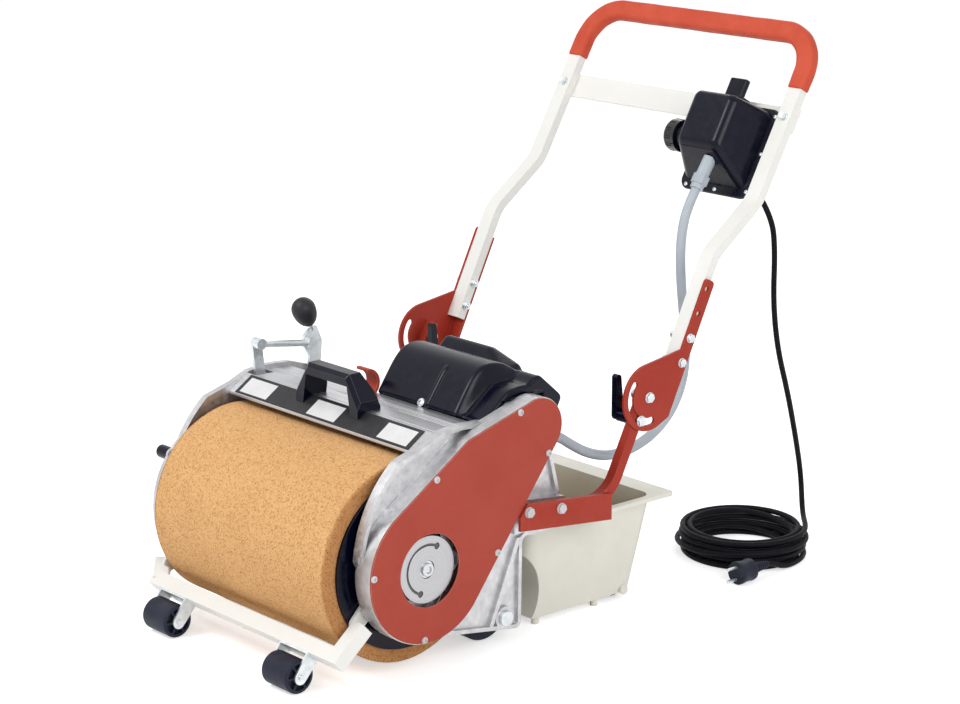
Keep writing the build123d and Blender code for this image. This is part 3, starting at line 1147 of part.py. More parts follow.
def switch_box():
    """Switch box on the cross plate, with its lid, rotary switch and two glands."""
    back = -TUBE_D / 2
    lid = RectangleRounded(LID_X1 - LID_X0, LID_S1 - LID_S0, LID_ROUND)
    lid = Pos((LID_X0 + LID_X1) / 2, (LID_S0 + LID_S1) / 2) * lid
    emit("switch_box_lid", extrude(upper_plane(back) * lid, LID_T))

    base = back + LID_T
    foot_x = (LID_X0 + BOX_INSET, LID_X1 - BOX_FLANGE)
    foot_s = (LID_S0 + BOX_FLANGE, LID_S1 - BOX_INSET)
    front_x = (LID_X0 + BOX_SLOPE[0], LID_X1 - BOX_SLOPE[1])
    front_s = (LID_S0 + BOX_SLOPE[2], LID_S1 - BOX_SLOPE[3])
    foot = Pos(sum(foot_x) / 2, sum(foot_s) / 2) * RectangleRounded(
        foot_x[1] - foot_x[0], foot_s[1] - foot_s[0], 8,
    )
    front = Pos(sum(front_x) / 2, sum(front_s) / 2) * RectangleRounded(
        front_x[1] - front_x[0], front_s[1] - front_s[0], 6,
    )
    box = loft([upper_plane(base) * foot, upper_plane(base + BOX_DEPTH) * front], ruled=True)
    tab = Pos(LID_X0 + TAB_X, foot_s[1] + TAB_OUT) * Rectangle(TAB_W, TAB_L)
    box += extrude(upper_plane(base + TAB_LEVEL) * tab, TAB_T)
    centre = upper_plane(SWITCH_W).from_local_coords(Vector(0, SWITCH_S, 0))
    shaft_x = LID_X0 + 2.0
    turn_plane = Plane(origin=(0, centre.Y, centre.Z), x_dir=(0, 1, 0), z_dir=(-1, 0, 0))
    box += extrude(turn_plane.offset(-shaft_x - 40) * Circle(SWITCH_R - 5), 40)
    knob = extrude(turn_plane.offset(-shaft_x + FACE_GAP) * Circle(SWITCH_R), SWITCH_T)
    knob = fillet(knob.faces().sort_by(Axis.X)[0].edges(), 5)
    for turn in range(12):
        flute = Rot(0, 0, 30 * turn) * Pos(SWITCH_R, 0) * Circle(2)
        knob -= extrude(turn_plane.offset(-shaft_x + 6) * flute, SWITCH_T)
    stem = extrude(turn_plane.offset(-shaft_x - 16) * Circle(5), 18)
    box -= extrude(turn_plane.offset(-shaft_x - 16 - FACE_GAP) * Circle(5 + RUN_FIT), 20)
    emit("switch_knob", knob + stem)

    start = Vector(*CONDUIT_POINTS[0])
    along = (Vector(*CONDUIT_POINTS[1]) - start).normalized()
    nut = Plane(origin=start, z_dir=along * -1)
    gland = extrude(nut * Circle(GLAND_R - 3), GLAND_L)
    gland += extrude(nut.offset(8) * RegularPolygon(GLAND_R, 6), 14)
    box -= extrude(nut.offset(GLAND_L / 2) * Circle(GLAND_R - 3), GLAND_L / 2)
    gland = gland - (box & gland)
    emit("switch_box", box)

    exit_at = Vector(*DROP_POINTS[0])
    lead = (Vector(*DROP_POINTS[1]) - exit_at).normalized()
    boot = Plane(origin=exit_at, z_dir=lead * -1)
    taper = loft([boot * Circle(CORD_R + 1.5), boot.offset(CORD_GLAND_L) * Circle(CORD_GLAND_R)])
    taper -= extrude(upper_plane(back) * Pos(0, CROSS_AT) * Rectangle(2 * HANDLE_X, 2 * LID_S1), BOX_DEPTH)
    lid_back = extrude(upper_plane(back) * Pos(exit_at.X, 16) * Circle(CORD_GLAND_R + 3), -CORD_GLAND_L)
    emit("cable_glands", Compound(children=[gland, taper + lid_back]))


def run_radii(points):
    """Arc radius at each corner of a route, as large as the shorter run beside it allows."""
    spots = [Vector(*p) for p in points]
    radii = []
    for before, at, after in zip(spots, spots[1:], spots[2:]):
        turn = math.radians((at - before).get_angle(after - at))
        shorter = min((at - before).length, (after - at).length)
        radii.append(0.45 * shorter / math.tan(turn / 2))
    return radii


def tube_along(name, path, radius):
    """A round tube swept along a path, with its volume compared with section times length."""
    tube = sweep(Plane(origin=path @ 0, z_dir=path % 0) * Circle(radius), path=path)
    ideal = math.pi * radius ** 2 * path.length
    print(f"{name}: length {path.length:.1f} mm, volume ratio {tube.volume / ideal:.4f}")
    return tube


def biarc(start, start_dir, end, end_dir):
    """Two arcs that join two points with given directions."""
    span = end - start
    both = start_dir + end_dir
    a = 2 * (1 - start_dir.dot(end_dir))
    b = 2 * span.dot(both)
    c = -span.dot(span)
    reach = (-b + math.sqrt(b * b - 4 * a * c)) / (2 * a) if abs(a) > 1e-9 else -c / b
    joint = (start + end + (start_dir - end_dir) * reach) * 0.5
    joint_dir = ((end - end_dir * reach) - (start + start_dir * reach)).normalized()
    return [TangentArc(start, joint, tangent=start_dir), TangentArc(joint, end, tangent=joint_dir)]


def coil_point(turns):
    """Point of the coil after so many turns from its top end, winding down to the floor."""
    layer_z = CORD_R + COIL_LAYER * (len(COIL_FLAT_TURNS) - 1)
    radius = COIL_R
    inward = -1
    left = turns
    for index, flat in enumerate(COIL_FLAT_TURNS):
        step = min(left, flat)
        radius += inward * COIL_PITCH * step
        left -= step
        if left <= 0:
            break
        climb = min(left, COIL_CLIMB_TURNS)
        if index < len(COIL_FLAT_TURNS) - 1:
            share = climb / COIL_CLIMB_TURNS
            layer_z -= COIL_LAYER * (1 - math.cos(math.pi * share)) / 2
        left -= climb
        inward = -inward
    angle = math.radians(COIL_START_ANGLE - 360 * turns)
    return Vector(COIL_X + radius * math.cos(angle), COIL_Y + radius * math.sin(angle), layer_z)


def coil_direction(turns):
    """Direction of the coil after so many turns."""
    step = 0.002
    return (coil_point(turns + step) - coil_point(max(turns - step, 0))).normalized()


def power_cord():
    """Hanging length, coil with its tail, and the plug."""
    total = sum(COIL_FLAT_TURNS) + COIL_CLIMB_TURNS * (len(COIL_FLAT_TURNS) - 1)
    count = round(total * COIL_STEPS_PER_TURN)
    marks = [total * i / count for i in range(count + 1)]
    edges = []
    for first, second in zip(marks, marks[1:]):
        edges += biarc(coil_point(first), coil_direction(first), coil_point(second), coil_direction(second))
    head = coil_point(0)
    head_dir = coil_direction(0)
    straight = 2 * CORD_R
    lead_in = Line(head - head_dir * straight, head)
    tail_start = coil_point(total)
    tail_dir = coil_direction(total)
    plug_z = PLUG_R
    out = Vector(tail_start.X, tail_start.Y - TAIL_L, plug_z)
    rise = biarc(tail_start, tail_dir, out, Vector(0, -1, 0))
    lead_out = Line(out, out + Vector(0, -straight, 0))
    path = Wire([lead_in, *edges, *rise, lead_out])
    emit("power_cord_coil", tube_along("coil", path, CORD_R))
    dense = [coil_point(total * i / 1200) for i in range(1201)]
    least = min(
        (dense[i] - dense[j]).length for i in range(0, 1201, 3) for j in range(i + 60, 1201, 3)
    )
    print(f"coil: least gap to itself {least - 2 * CORD_R:.2f} mm, turns {total}")

    land = head - head_dir * straight
    corner = land - head_dir * DROP_LEAD
    points = DROP_POINTS + [(corner.X, corner.Y, corner.Z), (land.X, land.Y, land.Z)]
    radii = run_radii(points)
    print("drop radii", [round(r) for r in radii])
    emit("power_cord_drop", tube_along("drop", FilletPolyline(*points, radius=radii), CORD_R))

    nose = out + Vector(0, -straight, 0)
    back = Plane(origin=nose, x_dir=(1, 0, 0), z_dir=(0, -1, 0))
    boot = loft([back * Circle(CORD_R + 1.2), back.offset(PLUG_BOOT_L) * Circle(CORD_R + 5)])
    body = extrude(back.offset(PLUG_BOOT_L) * Circle(PLUG_R), PLUG_L)
    body = fillet(body.edges().filter_by(GeomType.CIRCLE), 4)
    plug = boot + body
    for up in (-1, 1):
        spot = Pos(0, up * PLUG_PIN_SPACING / 2)
        plug += extrude(back.offset(PLUG_BOOT_L + PLUG_L) * spot * Circle(PLUG_PIN_R), PLUG_PIN_L)
    emit("power_plug", plug)


def conduit():
    """Grey conduit that hangs from the switch box to the motor cover."""
    radii = run_radii(CONDUIT_POINTS)
    print("conduit radii", [round(r) for r in radii])
    emit("conduit", tube_along("conduit", FilletPolyline(*CONDUIT_POINTS, radius=radii), CONDUIT_R))


def tub():
    """Moulded tub with a rolled rim, on two feet and a pair of small wheels."""
    def box_at(z, x, y0, y1, round_r):
        return Plane.XY.offset(z) * Pos(0, (y0 + y1) / 2) * RectangleRounded(2 * x, y1 - y0, round_r)

    top_x = TUB_RIM_X - TUB_RIM_OUT
    top_y0 = TUB_RIM_Y0 + TUB_RIM_OUT
    top_y1 = TUB_RIM_Y1 - TUB_RIM_REAR
    outer = loft([
        box_at(TUB_BASE_Z, TUB_BASE_X, TUB_BASE_Y0, TUB_BASE_Y1, TUB_ROUND),
        box_at(TUB_TOP_Z, top_x, top_y0, top_y1, TUB_ROUND),
    ])
    rim = extrude(box_at(TUB_TOP_Z - TUB_RIM_T, TUB_RIM_X, TUB_RIM_Y0, TUB_RIM_Y1, TUB_RIM_ROUND), TUB_RIM_T)
    w = TUB_WALL
    inner = loft([
        box_at(TUB_BASE_Z + w, TUB_BASE_X - w, TUB_BASE_Y0 + w, TUB_BASE_Y1 - w, TUB_ROUND - w),
        box_at(TUB_TOP_Z, top_x - w, top_y0 + w, top_y1 - w, TUB_ROUND - w),
    ])
    deep = TUB_RIM_Y1 - TUB_STEP_Y

    def step_box(wide, grow):
        height = TUB_STEP_Z + grow
        return Pos(0, TUB_STEP_Y - grow + deep / 2, height / 2) * Box(wide, deep, height)

    def arches(grow):
        arch = rod(TUB_ARCH_X - grow, TUB_RIM_X, AXLE_Y, AXLE_Z, TUB_ARCH_R + grow)
        return arch + mirrored(arch)

    shell = outer + rim
    shell = shell - step_box(2 * (TUB_BASE_X - w), 0) - arches(0)
    shell -= inner - step_box(2 * TUB_RIM_X, w) - arches(w)
    for x in (-TUB_FOOT_X, TUB_FOOT_X):
        for y in TUB_FOOT_YS:
            shell += extrude(Pos(x, y) * Circle(TUB_FOOT_R), TUB_BASE_Z)
        lug_x = TUB_WHEEL_X - TUB_WHEEL_W / 2 - 8
        lug_shape = outline([
            (TUB_STEP_Y + 4, TUB_STEP_Z), (TUB_AXLE_Y + 14, TUB_STEP_Z), (TUB_AXLE_Y + 9, TUB_WHEEL_R - 9),
            (TUB_AXLE_Y - 9, TUB_WHEEL_R - 9),
        ])
        lug = side(lug_x, lug_x + 6, lug_shape)
        shell += lug if x > 0 else mirrored(lug)
    shell -= rod(-TUB_RIM_X, TUB_RIM_X, TUB_AXLE_Y, TUB_WHEEL_R, TUB_AXLE_R + RUN_FIT)
    emit("tub", shell)

    wheel_x0 = TUB_WHEEL_X - TUB_WHEEL_W / 2
    wheel = rod(wheel_x0, wheel_x0 + TUB_WHEEL_W, TUB_AXLE_Y, TUB_WHEEL_R, TUB_WHEEL_R)
    wheel = fillet(wheel.edges().filter_by(GeomType.CIRCLE), 3)
    cap_x = TUB_BASE_X + TUB_CAP_GAP
    axle = rod(-cap_x, cap_x, TUB_AXLE_Y, TUB_WHEEL_R, TUB_AXLE_R)
    cap = rod(cap_x, cap_x + TUB_CAP_T, TUB_AXLE_Y, TUB_WHEEL_R, TUB_CAP_R)
    emit("tub_wheels", axle + wheel + mirrored(wheel) + cap + mirrored(cap))


def release_knob():
    """Knob that frees the drum's left bearing plate."""
    x0 = PAD_OUT + FACE_GAP
    knob = rod(x0, x0 + RELEASE_L, RELEASE_Y, RELEASE_Z, RELEASE_R)
    knob = fillet(knob.faces().sort_by(Axis.X)[-1].edges(), 5)
    knob += rod(SIDE_IN, x0, RELEASE_Y, RELEASE_Z, RELEASE_PIN_R)
    emit("release_knob", mirrored(knob))


drum()
castings()
drive_case()
belt_drive()
top_profile()
motor_group()
wringer()
rear_axle()
caster_frame()
arms()
handle()
switch_box()
conduit()
power_cord()
tub()
release_knob()
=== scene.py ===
"""Looks for the sponge-roller floor washer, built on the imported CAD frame."""

import json
import math

import bmesh
import bpy
import numpy as np
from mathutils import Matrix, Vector, kdtree


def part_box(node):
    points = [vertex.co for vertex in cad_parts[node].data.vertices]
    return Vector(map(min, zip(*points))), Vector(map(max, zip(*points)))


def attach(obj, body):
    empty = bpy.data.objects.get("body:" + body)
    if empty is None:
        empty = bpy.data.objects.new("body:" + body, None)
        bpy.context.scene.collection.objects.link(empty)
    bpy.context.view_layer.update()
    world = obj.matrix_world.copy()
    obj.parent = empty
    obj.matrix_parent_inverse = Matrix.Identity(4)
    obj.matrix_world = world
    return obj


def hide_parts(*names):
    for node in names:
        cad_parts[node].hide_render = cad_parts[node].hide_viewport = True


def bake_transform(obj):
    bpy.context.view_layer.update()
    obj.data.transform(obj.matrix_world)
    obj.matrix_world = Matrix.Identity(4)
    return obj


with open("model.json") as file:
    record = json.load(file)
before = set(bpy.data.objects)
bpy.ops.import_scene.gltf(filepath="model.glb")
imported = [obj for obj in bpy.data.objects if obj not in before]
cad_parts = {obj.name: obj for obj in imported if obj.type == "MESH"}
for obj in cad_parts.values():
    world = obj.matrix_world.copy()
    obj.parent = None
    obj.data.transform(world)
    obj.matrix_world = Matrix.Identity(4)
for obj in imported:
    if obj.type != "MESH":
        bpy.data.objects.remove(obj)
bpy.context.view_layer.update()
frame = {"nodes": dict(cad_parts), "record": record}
nodes = frame["nodes"]
scene = bpy.context.scene

MM = 1e-3
TO_MM = 1e3

shaft_low, shaft_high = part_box("roller_shaft")
DRUM_Y = (shaft_low.y + shaft_high.y) / 2
DRUM_Z = (shaft_low.z + shaft_high.z) / 2


def at(x, y, z):
    """Metres from millimetres: across from the middle, behind the drum axis and above the floor."""
    return Vector((x * MM, y * MM + DRUM_Y, z * MM))


def linked(name, data):
    """A new object in the scene."""
    obj = bpy.data.objects.new(name, data)
    scene.collection.objects.link(obj)
    return obj


def empty_tree(owner):
    """The node tree of a material or a world, without its first nodes."""
    owner.use_nodes = True
    owner.node_tree.nodes.clear()
    return owner.node_tree


# Materials

# Between these two values lies most of a noise
NOISE_LOW, NOISE_HIGH = 0.3, 0.7
# Sockets of a mix node that mixes colours
MIX_FACTOR, MIX_FIRST, MIX_SECOND, MIX_RESULT = 0, 6, 7, 2


class Shader:
    """One principled material with a few short ways to add nodes."""

    def __init__(self, name, color, metallic=0.0, roughness=0.5, **sockets):
        self.mat = bpy.data.materials.new(name)
        self.tree = empty_tree(self.mat)
        out = self.node("ShaderNodeOutputMaterial")
        values = {"Base Color": (*color, 1), "Metallic": metallic, "Roughness": roughness}
        values |= {socket.replace("_", " "): value for socket, value in sockets.items()}
        self.bsdf = self.node("ShaderNodeBsdfPrincipled", values)
        self.link(self.bsdf.outputs["BSDF"], out.inputs["Surface"])
        self.object_space = self.node("ShaderNodeTexCoord").outputs["Object"]

    def node(self, kind, values=None, **settings):
        """A new node with the values of some sockets and its settings."""
        made = self.tree.nodes.new(kind)
        for key, value in settings.items():
            setattr(made, key, value)
        for socket, value in (values or {}).items():
            made.inputs[socket].default_value = value
        return made

    def link(self, start, end):
        self.tree.links.new(start, end)

    def stretch(self, scale):
        """Object coordinates with their own scale on each axis."""
        mapping = self.node("ShaderNodeMapping", {"Scale": scale})
        self.link(self.object_space, mapping.inputs["Vector"])
        return mapping.outputs["Vector"]

    def axis(self, letter):
        """One object coordinate, in metres."""
        made = self.node("ShaderNodeSeparateXYZ")
        self.link(self.object_space, made.inputs["Vector"])
        return made.outputs[letter]

    def noise(self, scale, detail=3.0, roughness=0.55, vector=None):
        made = self.node("ShaderNodeTexNoise", {"Scale": scale, "Detail": detail, "Roughness": roughness})
        self.link(vector or self.object_space, made.inputs["Vector"])
        return made.outputs["Fac"]

    def cells(self, scale):
        """Distance to the middle of the nearest of many random cells."""
        made = self.node("ShaderNodeTexVoronoi", {"Scale": scale})
        self.link(self.object_space, made.inputs["Vector"])
        return made.outputs["Distance"]

    def attribute(self, name):
        return self.node("ShaderNodeAttribute", attribute_name=name).outputs["Fac"]

    def span(self, value, low, high, to_low, to_high):
        """A range of values brought to another range."""
        values = {"From Min": low, "From Max": high, "To Min": to_low, "To Max": to_high}
        made = self.node("ShaderNodeMapRange", values)
        self.link(value, made.inputs["Value"])
        return made.outputs["Result"]

    def edges(self, low, high):
        """1 on convex edges and 0 elsewhere, from the mesh's own curvature."""
        return self.span(self.node("ShaderNodeNewGeometry").outputs["Pointiness"], low, high, 0.0, 1.0)

    def math(self, operation, first, second=0.0):
        made = self.node("ShaderNodeMath", operation=operation)
        for socket, value in enumerate((first, second)):
            if isinstance(value, float):
                made.inputs[socket].default_value = value
            else:
                self.link(value, made.inputs[socket])
        return made.outputs["Value"]

    def between(self, value, low, high):
        """1 where a value lies between two others, and 0 elsewhere."""
        above = self.math("GREATER_THAN", value, low)
        return self.math("MULTIPLY", above, self.math("LESS_THAN", value, high))

    def vector(self, operation, first, fixed=None, second=None):
        """Vector maths on one socket and a fixed vector or a second socket."""
        made = self.node("ShaderNodeVectorMath", operation=operation)
        self.link(first, made.inputs[0])
        if fixed is not None:
            made.inputs[1].default_value = fixed
        if second is not None:
            self.link(second, made.inputs[1])
        return made.outputs["Value" if operation in ("LENGTH", "DOT_PRODUCT") else "Vector"]

    def two_tone(self, value, first, second, start=NOISE_LOW, end=NOISE_HIGH):
        """The first colour up to the start, the second from the end, and a fade between them."""
        made = self.node("ShaderNodeValToRGB")
        for point, place, color in zip(made.color_ramp.elements, (start, end), (first, second)):
            point.position = place
            point.color = (*color, 1)
        self.link(value, made.inputs["Fac"])
        return made.outputs["Color"]

    def mix(self, factor, first, second, blend="MIX"):
        made = self.node("ShaderNodeMix", data_type="RGBA", blend_type=blend)
        for socket, value in ((MIX_FACTOR, factor), (MIX_FIRST, first), (MIX_SECOND, second)):
            if isinstance(value, tuple):
                made.inputs[socket].default_value = (*value, 1)
            else:
                self.link(value, made.inputs[socket])
        return made.outputs[MIX_RESULT]

    def color(self, value):
        self.link(value, self.bsdf.inputs["Base Color"])

    def rough(self, noise, low, high):
        """Roughness that follows a noise from one value to another."""
        self.link(self.span(noise, NOISE_LOW, NOISE_HIGH, low, high), self.bsdf.inputs["Roughness"])

    def bump(self, height, strength, distance):
        made = self.node("ShaderNodeBump", {"Strength": strength, "Distance": distance})
        self.link(height, made.inputs["Height"])
        self.link(made.outputs["Normal"], self.bsdf.inputs["Normal"])


def paint(name, color, dark, edge, roughness=0.34, shine=0.3):
    """Cloudy paint, lighter along its edges: partly wear, partly painted highlight."""
    s = Shader(name, color, roughness=roughness, Specular_IOR_Level=shine)
    cloud = s.two_tone(s.noise(14.0, 4.0), dark, color)
    # Lighter edges: partly wear, partly painted highlight
    wear_and_highlight = s.math("MULTIPLY", s.edges(0.53, 0.66), s.noise(120.0))
    s.color(s.mix(wear_and_highlight, cloud, edge))
    s.rough(s.noise(45.0, 4.0), roughness - 0.06, roughness + 0.1)
    s.bump(s.noise(620.0, 2.0), 0.06, 0.0006)
    return s.mat


def cast_metal(name, light, dark):
    s = Shader(name, light, metallic=1.0, roughness=0.4)
    s.color(s.two_tone(s.noise(60.0, 6.0, 0.65), dark, light, end=0.68))
    s.rough(s.noise(150.0, 4.0), 0.3, 0.52)
    s.bump(s.noise(480.0, 4.0, 0.6), 0.22, 0.0007)
    return s.mat


def drawn_metal(name, light, dark):
    """Metal with fine lines along X, as it leaves a die."""
    s = Shader(name, light, metallic=1.0, roughness=0.3, Anisotropic=0.4)
    lines = s.noise(1.0, 3.0, 0.6, s.stretch((4.0, 900.0, 900.0)))
    s.color(s.two_tone(lines, dark, light))
    s.rough(lines, 0.24, 0.42)
    s.bump(lines, 0.08, 0.0003)
    return s.mat


def zinc_plate(name):
    s = Shader(name, (0.68, 0.69, 0.70), metallic=0.85, roughness=0.36)
    s.color(s.two_tone(s.cells(130.0), (0.595, 0.635, 0.655), (0.71, 0.755, 0.77), 0.1, 0.8))
    s.rough(s.noise(90.0, 4.0), 0.28, 0.46)
    s.bump(s.noise(420.0), 0.05, 0.0004)
    return s.mat


def moulded(name, color, light, roughness, grain, depth, shine=0.3):
    """Plastic or rubber with a fine grain of the given scale and depth."""
    s = Shader(name, color, roughness=roughness, Specular_IOR_Level=shine)
    s.color(s.two_tone(s.noise(30.0, 5.0), color, light, end=0.75))
    s.rough(s.noise(70.0, 4.0), roughness - 0.08, roughness + 0.1)
    s.bump(s.cells(grain), depth, 0.0004)
    return s.mat


HUB_FACE_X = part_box("drive_hub")[1].x
GROOVE_DEPTH = 0.0004
RING_SCALE = 900.0


def hub_material():
    """Turned disc with fine rings round its axis and painted shade in its grooves."""
    s = Shader("turned_aluminium", (0.56, 0.56, 0.57), metallic=1.0, roughness=0.34)
    from_axis = s.vector("SUBTRACT", s.object_space, fixed=(0, DRUM_Y, DRUM_Z))
    far = s.vector("LENGTH", s.vector("MULTIPLY", from_axis, fixed=(0, 1, 1)))
    rings = s.node("ShaderNodeTexNoise", {"Scale": RING_SCALE}, noise_dimensions="1D")
    s.link(far, rings.inputs["W"])
    lines = rings.outputs["Fac"]
    tone = s.two_tone(lines, (0.37, 0.37, 0.38), (0.50, 0.50, 0.51))
    # Painted shade on the groove floors, below the disc's face
    groove_shade = s.math("LESS_THAN", s.axis("X"), HUB_FACE_X - GROOVE_DEPTH)
    s.color(s.mix(groove_shade, tone, (0.10, 0.10, 0.105)))
    s.rough(lines, 0.28, 0.44)
    s.bump(lines, 0.06, 0.0003)
    return s.mat


# The painted shade inside the tub is strong below the first height and weak above the second, in metres, on
# walls that face inward
SHADE_LOW, SHADE_HIGH, SHADE_WAVE = 0.10, 0.19, 0.03
SHADE_STRONG, SHADE_WEAK = 0.92, 0.38
INWARD = -0.01


def tub_material():
    """Cream plastic, with painted shade inside towards its floor."""
    s = Shader("tub_plastic", (0.75, 0.735, 0.65), roughness=0.5, Specular_IOR_Level=0.3)
    low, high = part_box("tub")
    from_middle = s.vector("SUBTRACT", s.object_space, fixed=(low + high) / 2)
    level = s.vector("MULTIPLY", from_middle, fixed=(1, 1, 0))
    normal = s.node("ShaderNodeNewGeometry").outputs["Normal"]
    inside = s.math("LESS_THAN", s.vector("DOT_PRODUCT", level, second=normal), INWARD)
    cream = s.two_tone(s.noise(30.0, 5.0), (0.75, 0.735, 0.645), (0.80, 0.785, 0.695), end=0.75)
    height = s.math("ADD", s.axis("Z"), s.math("MULTIPLY", s.noise(18.0, 4.0), SHADE_WAVE))
    # Painted shade on the inward walls, darker towards the floor
    painted_shade = s.span(height, SHADE_LOW, SHADE_HIGH, SHADE_STRONG, SHADE_WEAK)
    s.color(s.mix(s.math("MULTIPLY", inside, painted_shade), cream, (0.27, 0.190, 0.080)))
    s.rough(s.noise(70.0, 4.0), 0.42, 0.6)
    s.bump(s.cells(520.0), 0.06, 0.0004)
    return s.mat


# The painted shade on the sleeve's ends starts and is full at these places, in metres from the middle
END_SHADE_START, END_SHADE_FULL = 0.1940, 0.1985


def sponge_material():
    """Tan foam of fine open cells, with painted shade on its cut ends."""
    s = Shader("sponge", (0.72, 0.40, 0.16), roughness=0.9, Specular_IOR_Level=0.12)

    def pits(scale, size, patch_scale, patch_low, patch_high, least, most):
        holes = s.span(s.cells(scale), 0.1, size, 1.0, 0.0)
        patches = s.span(s.noise(patch_scale, 2.0), patch_low, patch_high, least, most)
        return s.math("MULTIPLY", holes, patches)

    cloud = s.two_tone(s.noise(15.0, 5.0), (0.655, 0.342, 0.130), (0.735, 0.405, 0.165))
    fine = s.math("MULTIPLY", pits(340.0, 0.56, 190.0, 0.35, 0.6, 0.25, 1.0), 0.85)
    coarse = pits(190.0, 0.34, 90.0, 0.44, 0.58, 0.0, 0.8)
    dents = s.span(s.attribute("pore"), 0.25, 0.95, 0.0, 0.4)
    pores = s.math("MAXIMUM", s.math("MAXIMUM", fine, coarse), dents)
    foam = s.mix(s.noise(420.0, 3.0, 0.7), cloud, (0.80, 0.49, 0.23))
    tone = s.mix(pores, foam, (0.36, 0.140, 0.036))
    # Painted shade on the cut ends
    ends = s.span(s.math("ABSOLUTE", s.axis("X")), END_SHADE_START, END_SHADE_FULL, 0.0, 1.0)
    s.color(s.mix(ends, tone, (0.66, 0.55, 0.48), "MULTIPLY"))
    s.bump(s.math("SUBTRACT", 1.0, pores), 0.55, 0.0012)
    return s.mat


def foam_material():
    s = Shader("red_foam", (0.64, 0.10, 0.045), roughness=0.62, Specular_IOR_Level=0.25)
    cloud = s.two_tone(s.noise(22.0, 5.0), (0.54, 0.066, 0.030), (0.63, 0.092, 0.044), end=0.72)
    fine = s.cells(900.0)
    s.color(s.mix(s.span(fine, 0.0, 0.5, 0.22, 0.0), cloud, (0.36, 0.05, 0.02)))
    s.rough(s.noise(60.0, 4.0), 0.52, 0.72)
    s.bump(fine, 0.25, 0.0004)
    return s.mat


# Half the width of a field and the step to the next, in metres, and the black edge as a share of the height
FIELD_HALF, FIELD_STEP, FIELD_INSET = 0.032, 0.160, 0.13


def strip_material():
    """Black strip with three plain pale fields of one size."""
    s = Shader("black_fields", (0.01, 0.01, 0.012), roughness=0.35, Specular_IOR_Level=0.3)
    low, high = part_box("label_strip")
    inset = (high.z - low.z) * FIELD_INSET
    x = s.math("ABSOLUTE", s.axis("X"))
    outer = s.between(x, FIELD_STEP - FIELD_HALF, FIELD_STEP + FIELD_HALF)
    across = s.math("MAXIMUM", outer, s.math("LESS_THAN", x, FIELD_HALF))
    fields = s.math("MULTIPLY", across, s.between(s.axis("Z"), low.z + inset, high.z - inset))
    pale = s.two_tone(s.noise(40.0, 4.0), (0.70, 0.70, 0.69), (0.78, 0.78, 0.77))
    black = s.two_tone(s.noise(40.0, 4.0), (0.014, 0.014, 0.016), (0.026, 0.026, 0.029))
    s.color(s.mix(fields, black, pale))
    s.rough(s.noise(90.0, 4.0), 0.28, 0.45)
    return s.mat


def cord_material():
    s = Shader("cord_rubber", (0.006, 0.006, 0.008), roughness=0.5, Specular_IOR_Level=0.08)
    s.color(s.two_tone(s.noise(40.0, 4.0), (0.004, 0.004, 0.006), (0.009, 0.009, 0.012), end=0.75))
    s.rough(s.noise(120.0, 4.0), 0.42, 0.6)
    s.bump(s.noise(900.0, 2.0), 0.08, 0.0003)
    return s.mat


CAST = cast_metal("cast_aluminium", (0.63, 0.63, 0.64), (0.45, 0.45, 0.46))
DRAWN = drawn_metal("drawn_aluminium", (0.64, 0.64, 0.66), (0.50, 0.50, 0.52))
ZINC = zinc_plate("zinc_plate")
RED = paint("red_paint", (0.395, 0.056, 0.035), (0.365, 0.047, 0.028), (0.54, 0.13, 0.085), shine=0.18)
ARM_RED = paint("arm_red", (0.375, 0.038, 0.022), (0.345, 0.032, 0.018), (0.52, 0.11, 0.07), shine=0.14)
# Painted highlight on the bevelled edges of red pieces
RED_EDGE_HIGHLIGHT = paint("red_edge_highlight", (0.60, 0.16, 0.10), (0.50, 0.09, 0.06), (0.66, 0.26, 0.19), 0.3)
# Painted highlight on the drive cover's bevelled edge
COVER_HIGHLIGHT = paint("cover_edge_highlight", (0.80, 0.62, 0.55), (0.66, 0.42, 0.35), (0.84, 0.74, 0.68), 0.4)
CREAM = paint("cream_paint", (0.85, 0.84, 0.80), (0.81, 0.80, 0.75), (0.92, 0.91, 0.88))
CREAM_PLASTIC = moulded("cream_plastic", (0.75, 0.735, 0.65), (0.80, 0.785, 0.70), 0.5, 520.0, 0.06)
GREY = moulded("grey_plastic", (0.39, 0.43, 0.47), (0.46, 0.50, 0.55), 0.42, 600.0, 0.06)
SCREW = moulded("screw_zinc", (0.50, 0.50, 0.51), (0.62, 0.62, 0.63), 0.42, 300.0, 0.03, 0.5)
BLACK = moulded("black_plastic", (0.0008, 0.0013, 0.008), (0.0016, 0.0026, 0.012), 0.22, 700.0, 0.03, 0.21)
# Painted highlight on the bevelled edges of black pieces
BLACK_EDGE_HIGHLIGHT = moulded("black_edge_highlight", (0.009, 0.010, 0.015), (0.017, 0.019, 0.026), 0.30, 300.0, 0.02, 0.38)
GLOSS = moulded("black_gloss", (0.006, 0.006, 0.009), (0.012, 0.012, 0.015), 0.18, 200.0, 0.02, 0.5)
SATIN = moulded("black_satin", (0.009, 0.009, 0.013), (0.015, 0.015, 0.020), 0.50, 300.0, 0.02, 0.36)
RUBBER = moulded("black_rubber", (0.012, 0.015, 0.028), (0.022, 0.027, 0.046), 0.5, 420.0, 0.1, 0.18)
HUB = hub_material()
TUB = tub_material()
SPONGE = sponge_material()
FOAM = foam_material()
CORD = cord_material()
STRIP = strip_material()

